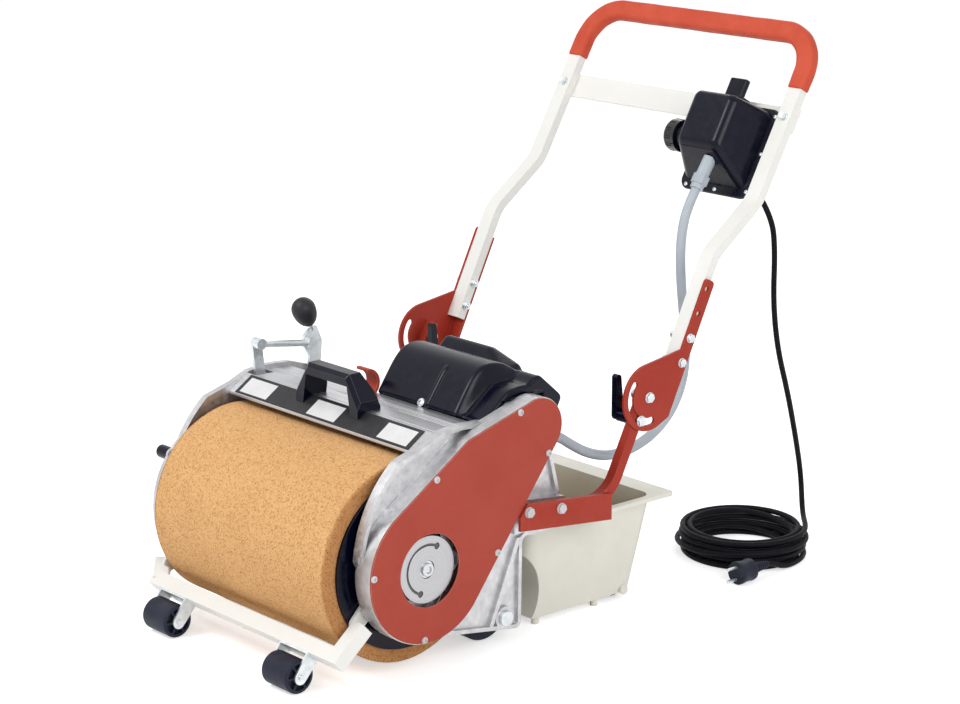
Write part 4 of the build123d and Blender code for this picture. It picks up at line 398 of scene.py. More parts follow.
LOOKS = {
    "cast_aluminium": CAST, "extruded_aluminium": DRAWN, "red_paint": RED, "cream_paint": CREAM,
    "cream_plastic": CREAM_PLASTIC, "black_plastic": BLACK, "black_gloss": GLOSS, "black_rubber": RUBBER,
    "zinc": ZINC, "grey_plastic": GREY, "black_fields": STRIP, "sponge": SPONGE, "red_foam": FOAM,
}
OWN_LOOKS = {
    "drive_hub": HUB, "tub": TUB, "arm_right": ARM_RED, "arm_left": ARM_RED, "quadrant_right": ARM_RED,
    "quadrant_left": ARM_RED,
}
SLOT_OF = {entry["node"]: entry["material_slot"] for entry in frame["record"]["subparts"]}


def dress(obj, material):
    obj.data.materials.clear()
    obj.data.materials.append(material)


def smooth(mesh):
    mesh.polygons.foreach_set("use_smooth", [True] * len(mesh.polygons))


for name, obj in nodes.items():
    dress(obj, OWN_LOOKS.get(name, LOOKS[SLOT_OF[name]]))
    smooth(obj.data)


# Meshes


def mesh_object(name, vertices, faces, material, body):
    mesh = bpy.data.meshes.new(name)
    mesh.from_pydata([tuple(v) for v in vertices], [], faces)
    mesh.update()
    obj = linked(name, mesh)
    dress(obj, material)
    smooth(mesh)
    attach(obj, body)
    return obj


def grid_faces(rows, cols, wrap_rows=False, wrap_cols=True):
    faces = []
    for i in range(rows if wrap_rows else rows - 1):
        for j in range(cols if wrap_cols else cols - 1):
            i2 = (i + 1) % rows
            j2 = (j + 1) % cols
            faces.append((i * cols + j, i * cols + j2, i2 * cols + j2, i2 * cols + j))
    return faces


def lofted(blocks):
    """Vertices and faces of closed blocks, each a list of rings of points with a cap on both ends."""
    vertices = []
    faces = []
    for rings in blocks:
        base = len(vertices)
        count = len(rings[0])
        last = base + (len(rings) - 1) * count
        vertices += [point for ring in rings for point in ring]
        faces += [tuple(base + v for v in face) for face in grid_faces(len(rings), count)]
        faces.append(tuple(base + v for v in reversed(range(count))))
        faces.append(tuple(last + v for v in range(count)))
    return vertices, faces


def ring_points(origin, axis, ring, count):
    """Points of a ring (distance, radius, corners), in millimetres: a circle, or a polygon with corners."""
    distance, radius, corners = ring
    along = Vector(axis).normalized()
    first = along.orthogonal().normalized()
    second = along.cross(first)
    points = []
    for step in range(count):
        a = 2 * math.pi * step / count
        r = radius * MM
        if corners:
            half = math.pi / corners
            r *= math.cos(half) / math.cos((a % (2 * half)) - half)
        points.append(origin + along * (distance * MM) + (first * math.cos(a) + second * math.sin(a)) * r)
    return points


def turned(name, items, material, body, count=48):
    """One mesh of turned pieces, each an origin, an axis and its rings."""
    blocks = [[ring_points(origin, axis, ring, count) for ring in rings] for origin, axis, rings in items]
    obj = mesh_object(name, *lofted(blocks), material, body)
    obj.data.set_sharp_from_angle(angle=math.radians(30))
    return obj


CORNER_STEPS = 8


def rounded_rectangle(across, up, corner):
    """Points of a rectangle between two pairs of limits, with each corner a quarter circle."""
    points = []
    for quarter, (x, y) in enumerate(((1, 1), (0, 1), (0, 0), (1, 0))):
        middle_x = across[x] + (corner if x == 0 else -corner)
        middle_y = up[y] + (corner if y == 0 else -corner)
        for step in range(CORNER_STEPS + 1):
            a = math.radians(90 * (quarter + step / CORNER_STEPS))
            points.append((middle_x + corner * math.cos(a), middle_y + corner * math.sin(a)))
    return points


# The upper handle's plane: how far it leans back, and the foot of its legs in millimetres
UPPER_LEAN = math.radians(29.5)
UPPER_UP = Vector((0, math.sin(UPPER_LEAN), math.cos(UPPER_LEAN)))
UPPER_AHEAD = Vector((0, -math.cos(UPPER_LEAN), math.sin(UPPER_LEAN)))
UPPER_Y, UPPER_Z = 640.0, 588.0


def on_handle(x, up, ahead):
    """A point in the upper handle's plane: across, up its legs and in front of them, in millimetres."""
    return at(x, UPPER_Y, UPPER_Z) + (UPPER_UP * up + UPPER_AHEAD * ahead) * MM


# Bolts and screws


def hex_head(radius, height):
    """Rings of a washer with a hexagon head on it, inside a plain head's cylinder."""
    washer = 0.26 * height
    return [
        (0, radius, 0), (washer * 0.8, radius, 0), (washer, radius * 0.97, 0), (washer, radius * 0.93, 6),
        (height * 0.9, radius * 0.93, 6), (height, radius * 0.76, 0), (height * 0.96, radius * 0.6, 0),
    ]


def socket_head(radius, height):
    """Rings of a domed screw head with a hexagon socket, inside a plain head's cylinder."""
    return [
        (0, radius, 0), (height * 0.3, radius, 0), (height * 0.62, radius * 0.93, 0),
        (height * 0.86, radius * 0.78, 0), (height * 0.97, radius * 0.6, 0), (height, radius * 0.5, 0),
        (height, radius * 0.46, 6), (height * 0.3, radius * 0.42, 6),
    ]


def nut(radius):
    """Rings of a washer and a hexagon nut with a bolt end in it."""
    return [
        (-0.6, radius, 0), (1.2, radius, 0), (1.4, radius * 0.97, 0), (1.4, radius * 0.9, 6),
        (6.4, radius * 0.9, 6), (7.0, radius * 0.74, 0), (7.0, radius * 0.5, 0), (8.4, radius * 0.5, 0),
        (9.0, radius * 0.4, 0),
    ]


def islands(name):
    """The separate solids of a CAD node, as arrays of points."""
    bm = bmesh.new()
    bm.from_mesh(nodes[name].data)
    bmesh.ops.remove_doubles(bm, verts=bm.verts, dist=1e-5)
    left = set(bm.verts)
    found = []
    while left:
        start = left.pop()
        group = [start]
        queue = [start]
        while queue:
            for edge in queue.pop().link_edges:
                for vert in edge.verts:
                    if vert in left:
                        left.remove(vert)
                        group.append(vert)
                        queue.append(vert)
        found.append(np.array([v.co[:] for v in group]))
    bm.free()
    return sorted(found, key=lambda points: tuple(points.mean(axis=0).round(5)))


# Handle bolts under the first width face ahead, and bolts between the other two carry nuts, in metres
SHORT_BOLT = 0.018
NUT_BOLT_LEAST, NUT_BOLT_MOST = 0.025, 0.040
TOUCH = 1e-4
# The bevel of a bolt's end in millimetres, and the share of its radius that is left there
END_BEVEL, END_SHARE = 0.8, 0.8


def fasteners(name, body, head, material):
    """Detailed bolts or screws in the places of a CAD node's plain ones."""
    items = []
    for points in islands(name):
        wide = np.ptp(points, axis=0)[0]
        axis = np.array((math.copysign(1, points.mean(axis=0)[0]), 0, 0))
        if body == "handle" and wide < SHORT_BOLT:
            axis = np.array(UPPER_AHEAD)
        along = points @ axis
        flat = points - np.outer(along, axis)
        centre = (flat.min(axis=0) + flat.max(axis=0)) / 2
        centre -= axis * (centre @ axis)
        away = np.linalg.norm(flat - centre, axis=1)
        radius = away.max()
        shank = away[along < along.min() + TOUCH].max() * TO_MM
        seat = along[away > radius - TOUCH].min()
        end = (along.min() - seat) * TO_MM
        rings = [(end, shank * END_SHARE, 0), (end + END_BEVEL, shank, 0), (0, shank, 0)]
        rings += head(radius * TO_MM, (along.max() - seat) * TO_MM)
        items.append((Vector(centre + axis * seat), axis, rings))
        if NUT_BOLT_LEAST < wide < NUT_BOLT_MOST:
            items.append((Vector(centre + axis * along.min()), -axis, nut(radius * TO_MM)))
    obj = turned(name + "_detail", items, material, body)
    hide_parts(name)


# Foam grip, in millimetres in the upper handle's plane

GRIP_HALF_X, GRIP_START, GRIP_TOP, GRIP_BEND = 238.8, 180.0, 268.0, 62.0
GRIP_ACROSS, GRIP_DEEP, GRIP_CORNER = 16.0, 11.0, 7.5
CHANNEL_ACROSS, CHANNEL_DEEP = 12.6, 7.6
# The rounded ends: how far in, and how much smaller there
GRIP_LIP = [(0.0, 2.6), (0.35, 1.5), (1.1, 0.6)]
GRIP_SWELL = 0.25
BEND_STEPS = 24


def grip_route():
    """Places and directions (x, up, dx, dup) along the bow, from its left end to its right one."""
    left, side_top = -GRIP_HALF_X, GRIP_TOP - GRIP_BEND
    route = [(left, up, 0.0, 1.0) for up in np.linspace(GRIP_START, side_top, 9)]
    for step in range(1, BEND_STEPS + 1):
        a = math.radians(90 * step / BEND_STEPS)
        x = left + GRIP_BEND * (1 - math.cos(a))
        route.append((x, side_top + GRIP_BEND * math.sin(a), math.sin(a), math.cos(a)))
    route += [(x, GRIP_TOP, 1.0, 0.0) for x in np.linspace(left + GRIP_BEND, 0, 24)[1:]]
    return route + [(-x, up, dx, -dup) for x, up, dx, dup in reversed(route[:-1])]


def foam_grip():
    """Soft grip swept round the bow of the handle, with rounded ends and a channel for the tube."""
    route = grip_route()
    outer = rounded_rectangle((-GRIP_ACROSS, GRIP_ACROSS), (-GRIP_DEEP, GRIP_DEEP), GRIP_CORNER)
    inner = rounded_rectangle((-CHANNEL_ACROSS, CHANNEL_ACROSS), (-CHANNEL_DEEP, CHANNEL_DEEP), 0.0)
    rows = [(route[0], along, drawn) for along, drawn in GRIP_LIP]
    rows += [(spot, 0.0, 0.0) for spot in route[1:-1]]
    rows += [(route[-1], -along, drawn) for along, drawn in reversed(GRIP_LIP)]
    vertices = []
    for index, ((x, up, dx, dup), along, drawn) in enumerate(rows):
        for j, (u, v) in enumerate(outer):
            wave = math.sin(0.55 * index + 0.7) * math.sin(0.35 * j + 0.21 * index)
            swell = GRIP_SWELL + GRIP_SWELL * wave
            shrink = 1 - (drawn + swell) / math.hypot(u, v)
            side = u * shrink
            vertices.append(on_handle(x + dx * along + dup * side, up + dup * along - dx * side, v * shrink))
    for x, up, dx, dup in reversed(route):
        for u, v in inner:
            vertices.append(on_handle(x + dup * u, up - dx * u, v))
    faces = grid_faces(len(rows) + len(route), len(outer), wrap_rows=True)
    grip = mesh_object("foam_grip", vertices, faces, FOAM, "handle")
    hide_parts("handle_grip")


# Sponge sleeve, in metres

SLEEVE_BORE, SLEEVE_ROUND = 0.0626, 0.003
SLEEVE_AROUND, SLEEVE_ALONG, SLEEVE_END = 560, 240, 30
PORE_COUNT, PORE_LEAST, PORE_MOST, PORE_DEPTH = 7000, 0.0007, 0.0019, 0.0013
# Thickness of the skin that has the pores, and how far it drops and waves
SKIN, SKIN_DROP, SKIN_WAVE = 0.004, 0.0006, 0.0005


def sleeve_profile(half, radius):
    """Outline (x, radius) of the sleeve: left end, skin, right end and bore."""
    flat, rim = half - SLEEVE_ROUND, radius - SLEEVE_ROUND
    left = [(-half, r) for r in np.linspace(SLEEVE_BORE, rim, SLEEVE_END)]
    for step in range(1, CORNER_STEPS):
        a = math.radians(90 * step / CORNER_STEPS)
        left.append((-half + SLEEVE_ROUND * (1 - math.cos(a)), rim + SLEEVE_ROUND * math.sin(a)))
    skin = [(x, radius) for x in np.linspace(-flat, flat, SLEEVE_ALONG)]
    right = [(-x, r) for x, r in reversed(left)]
    bore = [(x, SLEEVE_BORE) for x in np.linspace(half * 0.8, -half * 0.8, 5)]
    return left + skin + right + bore


def pore_tree(half, radius):
    """The pores' middles on the sleeve, as a search tree, and their sizes."""
    rng = np.random.default_rng(7)
    tree = kdtree.KDTree(PORE_COUNT)
    sizes = rng.uniform(PORE_LEAST, PORE_MOST, PORE_COUNT)
    for index in range(PORE_COUNT):
        x = rng.uniform(-half, half)
        a = rng.uniform(0, 2 * math.pi)
        tree.insert((x, radius * math.cos(a), radius * math.sin(a)), index)
    tree.balance()
    return tree, sizes


def sponge_sleeve():
    """Open-pored sleeve, with its pores as dents in the mesh."""
    low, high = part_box("sponge_sleeve")
    radius = (high.z - low.z) / 2
    half = (high.x - low.x) / 2
    profile = sleeve_profile(half, radius)
    tree, sizes = pore_tree(half, radius)
    angles = [2 * math.pi * j / SLEEVE_AROUND for j in range(SLEEVE_AROUND)]
    vertices = []
    depths = []
    for x, r in profile:
        for a in angles:
            depth = 0.0
            height = r
            if r > radius - SKIN:
                _, index, far = tree.find((x, r * math.cos(a), r * math.sin(a)))
                depth = max(1 - (far / sizes[index]) ** 2, 0.0)
                wave = SKIN_WAVE * math.sin(5 * a + 31 * x) * math.sin(3 * a - 47 * x)
                height = r - PORE_DEPTH * depth + (wave - SKIN_DROP)
            depths.append(depth)
            vertices.append((x, DRUM_Y + height * math.cos(a), DRUM_Z + height * math.sin(a)))
    faces = [tuple(reversed(f)) for f in grid_faces(len(profile), SLEEVE_AROUND, wrap_rows=True)]
    obj = mesh_object("sponge_roll", vertices, faces, SPONGE, "drum")
    obj.data.attributes.new("pore", "FLOAT", "POINT").data.foreach_set("value", depths)
    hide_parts("sponge_sleeve")


# Motor cover, in millimetres: along X, with outlines (y, z) from the drive pulley's axis

PINION_Y, PINION_Z = 200.0, 324.0
HOOD_X0, HOOD_X1 = -4.0, 214.0
HOOD_CENTRE = (-3.5, -33.0)
HOOD_TALL = [(-84, 12), (-42, 72), (-14, 79), (14, 72), (50, 44), (77, -18), (77, -78)]
HOOD_LOW = [(-84, 12), (-70, 13), (-24, 49), (0, 52), (14, 51), (30, 64), (75, 25), (77, -18), (77, -78)]
HOOD_TALL_BEND, HOOD_LOW_BEND = 30, 9
HOOD_CREST = [(24, 54), (41, 79), (50, 77), (77, 30), (77, -24)]
HOOD_MOUTH = [(-39, -40), (-39, 38), (39, 38), (39, -90)]
# Angles in degrees at which the cover starts in front and ends behind, the latter rising at its right end
HOOD_FRONT, HOOD_REAR, HOOD_REAR_END, HOOD_REAR_X = 150.8, -29.2, 22.0, 180
HOOD_ROWS, HOOD_COLS = 175, 221
# Where along X the low body takes over, the crest falls, starts and ends, and the right end slants
HOOD_STEP = (166.0, 175.0)
CREST_TOP, CREST_DROP, CREST_X, CREST_RUN = 79.0, 21.0, 97.0, 45.0
CREST_START, CREST_END = (-1.0, 3.0), (140.0, 152.0)
SLANT_FAR, SLANT_RISE, SLANT_X = 45.6, 0.55, (184.0, 206.0)
# The rib and the bead on the front face, and the stretch in y where they fade
RIB_START, RIB_END, RIB_FADE, RIB_HIGH = (102.0, 104.0), (109.0, 111.0), (-48.0, -40.0), 2.2
BEAD_X, BEAD_WIDE, BEAD_FADE, BEAD_HIGH = 177.5, 2.2, (-26.0, -16.0), 1.6
HOOD_ROUND_LEFT, HOOD_ROUND_RIGHT = 4, 2
LEFT_LAP, RIGHT_GAP = 0.5, 0.2
HOOD_SMOOTH = 1.5
HOOD_WALL = 0.0025
LEAST_DIVISOR = 0.01


def bent(points, size):
    """An open outline with each corner rounded over at most the given length of its two runs."""
    made = [points[0]]
    for before, corner, after in zip(points, points[1:], points[2:]):
        here = np.array(corner, float)
        back, ahead = np.array(before) - here, np.array(after) - here
        back *= min(size / np.linalg.norm(back), 0.48)
        ahead *= min(size / np.linalg.norm(ahead), 0.48)
        for t in np.linspace(0, 1, 9):
            made.append(tuple(here + back * (1 - t) ** 2 + ahead * t ** 2))
    return made + [points[-1]]


def reach(points, angles):
    """How far a ray from the hood's centre goes to an open outline, for each angle, in millimetres."""
    far = np.zeros(angles.shape)
    dy, dz = np.cos(angles), np.sin(angles)
    for (y0, z0), (y1, z1) in zip(points, points[1:]):
        ey, ez = y1 - y0, z1 - z0
        py, pz = y0 - HOOD_CENTRE[0], z0 - HOOD_CENTRE[1]
        across = dy * ez - dz * ey
        across = np.where(np.abs(across) < 1e-9, 1e-9, across)
        along = (dz * py - dy * pz) / across
        hit = (py * ez - pz * ey) / across
        good = (along >= -1e-6) & (along <= 1 + 1e-6) & (hit > 0)
        far = np.where(good, np.maximum(far, hit), far)
    return far


def rounded(values, sigma, axis):
    """Values smoothed along one axis, with their slope kept at both ends."""
    half = int(3 * sigma) + 1
    weights = np.exp(-0.5 * (np.arange(-half, half + 1) / sigma) ** 2)
    weights /= weights.sum()

    def one(line):
        front = 2 * line[0] - line[half:0:-1]
        back = 2 * line[-1] - line[-2:-half - 2:-1]
        return np.convolve(np.concatenate((front, line, back)), weights, "valid")

    return np.apply_along_axis(one, axis, values)


def ease(values, start, end):
    """0 before the start, 1 after the end and a soft step between."""
    t = np.clip((values - start) / (end - start), 0, 1)
    return t * t * (3 - 2 * t)


def hood_shape(xs, angles):
    """How far the cover reaches from its centre, for each place along it and each angle."""
    step = ease(xs, *HOOD_STEP)
    tall, low = reach(bent(HOOD_TALL, HOOD_TALL_BEND), angles), reach(bent(HOOD_LOW, HOOD_LOW_BEND), angles)
    body = tall * (1 - step) + low * step
    top = CREST_TOP - CREST_DROP * np.clip((xs - CREST_X) / CREST_RUN, 0, 1)
    ceiling = (top - HOOD_CENTRE[1]) / np.maximum(np.sin(angles), LEAST_DIVISOR)
    crest = np.minimum(reach(HOOD_CREST, angles), ceiling)
    window = ease(xs, *CREST_START) * (1 - ease(xs, *CREST_END))
    shape = body + np.maximum(crest - body, 0) * window
    slant = SLANT_FAR / np.maximum(np.cos(angles) - SLANT_RISE * np.sin(angles), LEAST_DIVISOR)
    shape = shape - np.maximum(shape - slant, 0) * ease(xs, *SLANT_X)
    shape = rounded(rounded(shape, HOOD_SMOOTH, 0), HOOD_SMOOTH, 1)
    spot_y = HOOD_CENTRE[0] + body * np.cos(angles)
    rib = ease(xs, *RIB_START) * (1 - ease(xs, *RIB_END)) * (1 - ease(spot_y, *RIB_FADE))
    bead = np.exp(-((xs - BEAD_X) / BEAD_WIDE) ** 2) * (1 - ease(spot_y, *BEAD_FADE))
    return shape + RIB_HIGH * rib + BEAD_HIGH * bead


def motor_hood():
    """Moulded motor cover: tall and low bodies with a step, a ramped crest, a rib and a closed right end."""
    xs = np.linspace(HOOD_X0, HOOD_X1, HOOD_ROWS)[:, None]
    rise = np.clip((xs - HOOD_REAR_X) / (HOOD_X1 - HOOD_REAR_X), 0, 1)
    last = HOOD_REAR + (HOOD_REAR_END - HOOD_REAR) * rise
    angles = np.radians(HOOD_FRONT + (last - HOOD_FRONT) * np.linspace(0, 1, HOOD_COLS)[None, :])
    shape = hood_shape(xs, angles)
    first, end = shape[0], shape[-1]
    left, right = HOOD_ROUND_LEFT, HOOD_ROUND_RIGHT
    rows = [(HOOD_X0, first * f, angles[0]) for f in (0.02, 0.35, 0.7, 0.9)]
    for a in np.linspace(0, 1.3, 7):
        rows.append((HOOD_X0 + left * (1 - math.cos(a)), first - left * (1 - math.sin(a)), angles[0]))
    for (x,), row, turn in zip(xs, shape, angles):
        if HOOD_X0 + left - LEFT_LAP < x < HOOD_X1 - right - RIGHT_GAP:
            rows.append((x, row, turn))
    for a in np.linspace(0.2, 1.57, 5):
        rows.append((HOOD_X1 - right * (1 - math.sin(a)), end - right * (1 - math.cos(a)), angles[-1]))
    mouth = reach(HOOD_MOUTH, angles[-1])
    rows += [(HOOD_X1, (end - right) * (1 - f) + mouth * f, angles[-1]) for f in (0.2, 0.6, 1.0)]
    vertices = []
    for x, row, turn in rows:
        for a, r in zip(turn, row):
            y = PINION_Y + HOOD_CENTRE[0] + r * math.cos(a)
            vertices.append(at(x, y, PINION_Z + HOOD_CENTRE[1] + r * math.sin(a)))
    faces = grid_faces(len(rows), HOOD_COLS, wrap_cols=False)
    hood = mesh_object("motor_hood", vertices, faces, BLACK, "chassis")
    wall = hood.modifiers.new("wall", "SOLIDIFY")
    wall.thickness = HOOD_WALL
    wall.offset = -1.0
    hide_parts("motor_cover")


# Cords


def spline_object(name, points, radius=0.0):
    """A smooth NURBS curve with a route's points as its control points, in metres."""
    curve = bpy.data.curves.new(name, "CURVE")
    curve.dimensions = "3D"
    curve.resolution_u = 8
    curve.bevel_depth = radius
    curve.bevel_resolution = 4
    curve.use_fill_caps = True
    line = curve.splines.new("NURBS")
    line.points.add(len(points) - 1)
    for point, place in zip(line.points, points):
        point.co = (*place, 1)
    line.order_u = 3
    line.use_endpoint_u = True
    return linked(name, curve)


def evaluated_mesh(obj):
    """The mesh of a curve object, which is then removed."""
    bpy.context.view_layer.update()
    mesh = bpy.data.meshes.new_from_object(obj.evaluated_get(bpy.context.evaluated_depsgraph_get()))
    bpy.data.objects.remove(obj)
    return mesh


def tube_from(name, points, radius, material):
    """A tube mesh along a route's spline, with the points that it follows."""
    line = evaluated_mesh(spline_object(name + "_line", points))
    path = [v.co.copy() for v in line.vertices]
    mesh = evaluated_mesh(spline_object(name + "_tube", points, radius))
    obj = linked(name, mesh)
    dress(obj, material)
    smooth(mesh)
    return obj, path


# The lead in millimetres: its hanging length, its coil with the turns of each layer, and its tail to the plug
CORD_R = 4.4
DROP = [
    (204, 694, 578), (206, 717, 546), (208, 723, 496), (207, 723, 418), (205, 738, 340), (191, 780, 260),
    (165, 832, 168), (146, 868, 97), (173.6, 843.0, 44.0),
]
COIL_X, COIL_Y, COIL_R = 150.0, 728.0, 98.0
COIL_PITCH, COIL_LAYER, COIL_START = 11.0, 12.0, 45.0
COIL_TURNS = [1.625, 2.0, 2.0, 2.0]
CLIMB = 0.5
COIL_STEPS = 16
COIL_TALL = COIL_LAYER * (len(COIL_TURNS) - 1)
# The turns lie a little loose: higher towards one side, and oval
COIL_RISE, COIL_FAR = 5.0, math.radians(134)
COIL_OVAL, COIL_DRIFT = 3.0, 0.25
TAIL = [(22, 7.5), (40, 16.5), (53, 18.0)]


def coil_point(turns):
    """Point of the coil after so many turns from its top end, in millimetres."""
    z = CORD_R + COIL_TALL
    radius = COIL_R
    inward = -1
    left = turns
    for index, flat in enumerate(COIL_TURNS):
        step = min(left, flat)
        radius += inward * COIL_PITCH * step
        left -= step
        if left <= 0:
            break
        climb = min(left, CLIMB)
        if index < len(COIL_TURNS) - 1:
            z -= COIL_LAYER * (1 - math.cos(math.pi * climb / CLIMB)) / 2
        left -= climb
        inward = -inward
    angle = math.radians(COIL_START - 360 * turns)
    radius += COIL_OVAL * math.sin(2 * angle + COIL_DRIFT * turns)
    far = (1 + math.cos(angle - COIL_FAR)) / 2
    z += COIL_RISE * far * (z - CORD_R) / COIL_TALL
    return COIL_X + radius * math.cos(angle), COIL_Y + radius * math.sin(angle), z


PIN_APART = 19.0
BOOT_RIBS = 6


def power_plug(nose):
    """Moulded plug: ribbed boot, waisted body with a face plate, and two round pins."""
    ahead = (0, -1, 0)
    boot = [(0, 5.0, 0)]
    for rib in range(BOOT_RIBS):
        far = 2 + 5 * rib
        size = 5.7 + 0.6 * rib
        boot += [(far, size - 1.0, 0), (far + 0.6, size, 0), (far + 2.8, size, 0), (far + 3.4, size - 1.0, 0)]
    boot += [(33, 8.0, 0), (34.2, 11.0, 0), (35.5, 14.2, 0), (38, 16.8, 0), (42, 17.4, 0), (46, 16.6, 0)]
    boot += [(56, 16.6, 0), (60, 17.4, 0), (63.5, 17.9, 0), (68.6, 17.9, 0), (70, 16.8, 0), (69.2, 15.2, 0)]
    body = turned("plug_body", [(nose, ahead, boot)], RUBBER, "chassis")
    pin = [(69, 2.4, 0), (88, 2.4, 0), (88.8, 1.7, 0), (89, 1.0, 0)]
    pins = [(nose + Vector((0, 0, side * PIN_APART / 2 * MM)), ahead, pin) for side in (-1, 1)]
    metal = turned("plug_pins", pins, ZINC, "chassis", count=24)
    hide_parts("power_plug")
    return body, metal


def mains_lead():
    """Mains lead from the switch box to its coil on the floor, with its plug."""
    total = sum(COIL_TURNS) + CLIMB * (len(COIL_TURNS) - 1)
    count = round(total * COIL_STEPS)
    coil = [coil_point(total * i / count) for i in range(count + 1)]
    end_x, end_y, _ = coil[-1]
    tail = [(end_x, end_y - ahead, up) for ahead, up in TAIL]
    points = [at(*p) for p in DROP + coil + tail]
    lead, path = tube_from("mains_lead", points, CORD_R * MM, CORD)
    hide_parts("power_cord_drop", "power_cord_coil")
    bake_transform(lead)
    plug = power_plug(path[-1])


CONDUIT_R = 7.5
CONDUIT = [
    (158, 600, 600), (157, 583, 573), (157, 573, 541), (159, 568, 505), (164, 566, 460), (169, 568, 412),
    (173, 570, 362), (175, 563, 314), (175, 541, 272), (175, 503, 242), (174, 456, 226), (172, 410, 224),
    (170, 371, 236), (169, 340, 254), (168, 310, 275), (168, 277, 284),
]


def conduit():
    """Grey conduit from the switch box to the motor cover."""
    points = [at(*p) for p in CONDUIT]
    hose, path = tube_from("motor_conduit", points, CONDUIT_R * MM, GREY)
    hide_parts("conduit")
    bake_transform(hose)


# Knob, switch box and small fittings, in millimetres

KNOB_R, KNOB_WAIST, KNOB_TALL, KNOB_NECK_R = 18.5, 28.2, 47.0, 4.2
KNOB_FOOT = at(-209.5, 153.2, 395.1)
KNOB_LEAN = math.radians(24.8)


def egg_knob():
    """Smooth egg-shaped knob on the wringer's hand lever."""
    neck = math.asin(KNOB_NECK_R / KNOB_R)
    rings = []
    for a in np.linspace(neck, math.pi / 2, 14):
        rings.append((KNOB_WAIST * (1 - math.cos(a) / math.cos(neck)), KNOB_R * math.sin(a), 0))
    for a in np.linspace(0, math.radians(87), 16)[1:]:
        rings.append((KNOB_WAIST + (KNOB_TALL - KNOB_WAIST) * math.sin(a), KNOB_R * math.cos(a), 0))
    axis = (0, -math.sin(KNOB_LEAN), math.cos(KNOB_LEAN))
    knob = turned("egg_knob", [(KNOB_FOOT, axis, rings)], SATIN, "lever", count=64)
    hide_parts("lever_knob")


# Rectangles (across, up) of the switch box in the upper handle's plane
CASE_FOOT = ((83.3, 207.3), (14.0, 140.0))
CASE_FRONT = ((100.3, 181.3), (54.0, 139.0))
CASE_TAB = ((124.3, 158.3), (131.0, 177.0))
CASE_COLLAR = ((115.0, 167.0), (128.0, 148.0))
CASE_BACK, CASE_DEEP = -3.5, 66
BOSS = on_handle(119.3, 72.0, 26.0)
EDGE_STEPS = 6
LEAST_CORNER = 0.5


def block_rings(foot, front, start, end, corner, edge):
    """Rings of a tapered block between two rectangles of the handle's plane, with a rounded front edge."""
    deep = end - start
    stations = [(0.0, 0.0)]
    for step in range(EDGE_STEPS + 1):
        a = math.radians(90 * step / EDGE_STEPS)
        stations.append((deep - edge + edge * math.sin(a), edge * (1 - math.cos(a))))
    rings = []
    for depth, inset in stations:
        sides = [[a + (b - a) * depth / deep for a, b in zip(foot[i], front[i])] for i in (0, 1)]
        sides = [(low + inset, high - inset) for low, high in sides]
        outline = rounded_rectangle(*sides, max(corner - inset, LEAST_CORNER))
        rings.append([on_handle(x, up, start + depth) for x, up in outline])
    return rings


def switch_case():
    """Rounded switch box with its tab and the boss of the rotary switch."""
    boss = [(0, 20, 0), (38, 20, 0), (39.4, 19.4, 0), (40, 18, 0)]
    blocks = [
        block_rings(CASE_FOOT, CASE_FRONT, CASE_BACK, CASE_BACK + CASE_DEEP, 12.0, 9.0),
        block_rings(CASE_TAB, CASE_TAB, CASE_BACK + 20, CASE_BACK + 28, 3.0, 2.0),
        block_rings(CASE_COLLAR, CASE_COLLAR, CASE_BACK + 14, CASE_BACK + 33, 3.0, 2.5),
        [ring_points(BOSS, (-1, 0, 0), ring, 48) for ring in boss],
    ]
    case = mesh_object("switch_case", *lofted(blocks), BLACK, "handle")
    case.data.set_sharp_from_angle(angle=math.radians(50))
    normal = case.modifiers.new("normal", "WEIGHTED_NORMAL")
    normal.keep_sharp = True
    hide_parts("switch_box")


HUB_BOSS = at(246, 0, DRUM_Z * TO_MM)
HOOD_SCREW, HOOD_SCREW_AXIS = at(93, 118.5, 343), (0, -0.82, 0.57)
LID_SCREWS = [(92, 7), (152, 7), (214.3, 12), (214.3, 73), (214.3, 134)]
CAP_X, CAP_SCREW_R, CAP_SCREW_TURNS = -235, 27, (0.6, 2.69, 4.79)
AXLE_X, AXLE_Y, AXLE_Z = 190.4, 430, 16
GLAND, GLAND_AXIS = at(168, 276.0, 284), (0, 0.97, -0.24)


def fittings():
    """Small turned pieces that the CAD model leaves plain."""
    boss = [(-1, 9.6, 0), (2.2, 9.6, 0), (3, 8.9, 0), (3, 5.4, 0), (0.6, 4.6, 0)]
    turned("hub_boss", [(HUB_BOSS, (1, 0, 0), boss)], DRAWN, "drum")
    turned("hood_screw", [(HOOD_SCREW, HOOD_SCREW_AXIS, socket_head(6.5, 3.6))], ZINC, "chassis")
    lid = [(on_handle(x, up, CASE_BACK), UPPER_AHEAD, socket_head(3.4, 2.4)) for x, up in LID_SCREWS]
    turned("lid_screws", lid, ZINC, "handle", count=24)
    cap = []
    for a in CAP_SCREW_TURNS:
        place = at(CAP_X, CAP_SCREW_R * math.sin(a), DRUM_Z * TO_MM + CAP_SCREW_R * math.cos(a))
        cap.append((place, (-1, 0, 0), socket_head(4.5, 2.6)))
    turned("cap_screws", cap, ZINC, "chassis", count=24)
    button = [(-3.2, 7.3, 0), (0.4, 7.3, 0), (1.5, 6.2, 0), (1.9, 3.0, 0)]
    ends = [(at(side * AXLE_X, AXLE_Y, AXLE_Z), (side, 0, 0), button) for side in (1, -1)]
    turned("axle_caps", ends, CREAM_PLASTIC, "tub_roll")
    gland = [(0, 15.0, 0), (2, 15.0, 0), (2, 14.6, 6), (11, 14.6, 6)]
    gland += [(12, 12.6, 0), (16, 10.4, 0), (18, 8.2, 0)]
    turned("motor_gland", [(GLAND, GLAND_AXIS, gland)], GREY, "chassis")


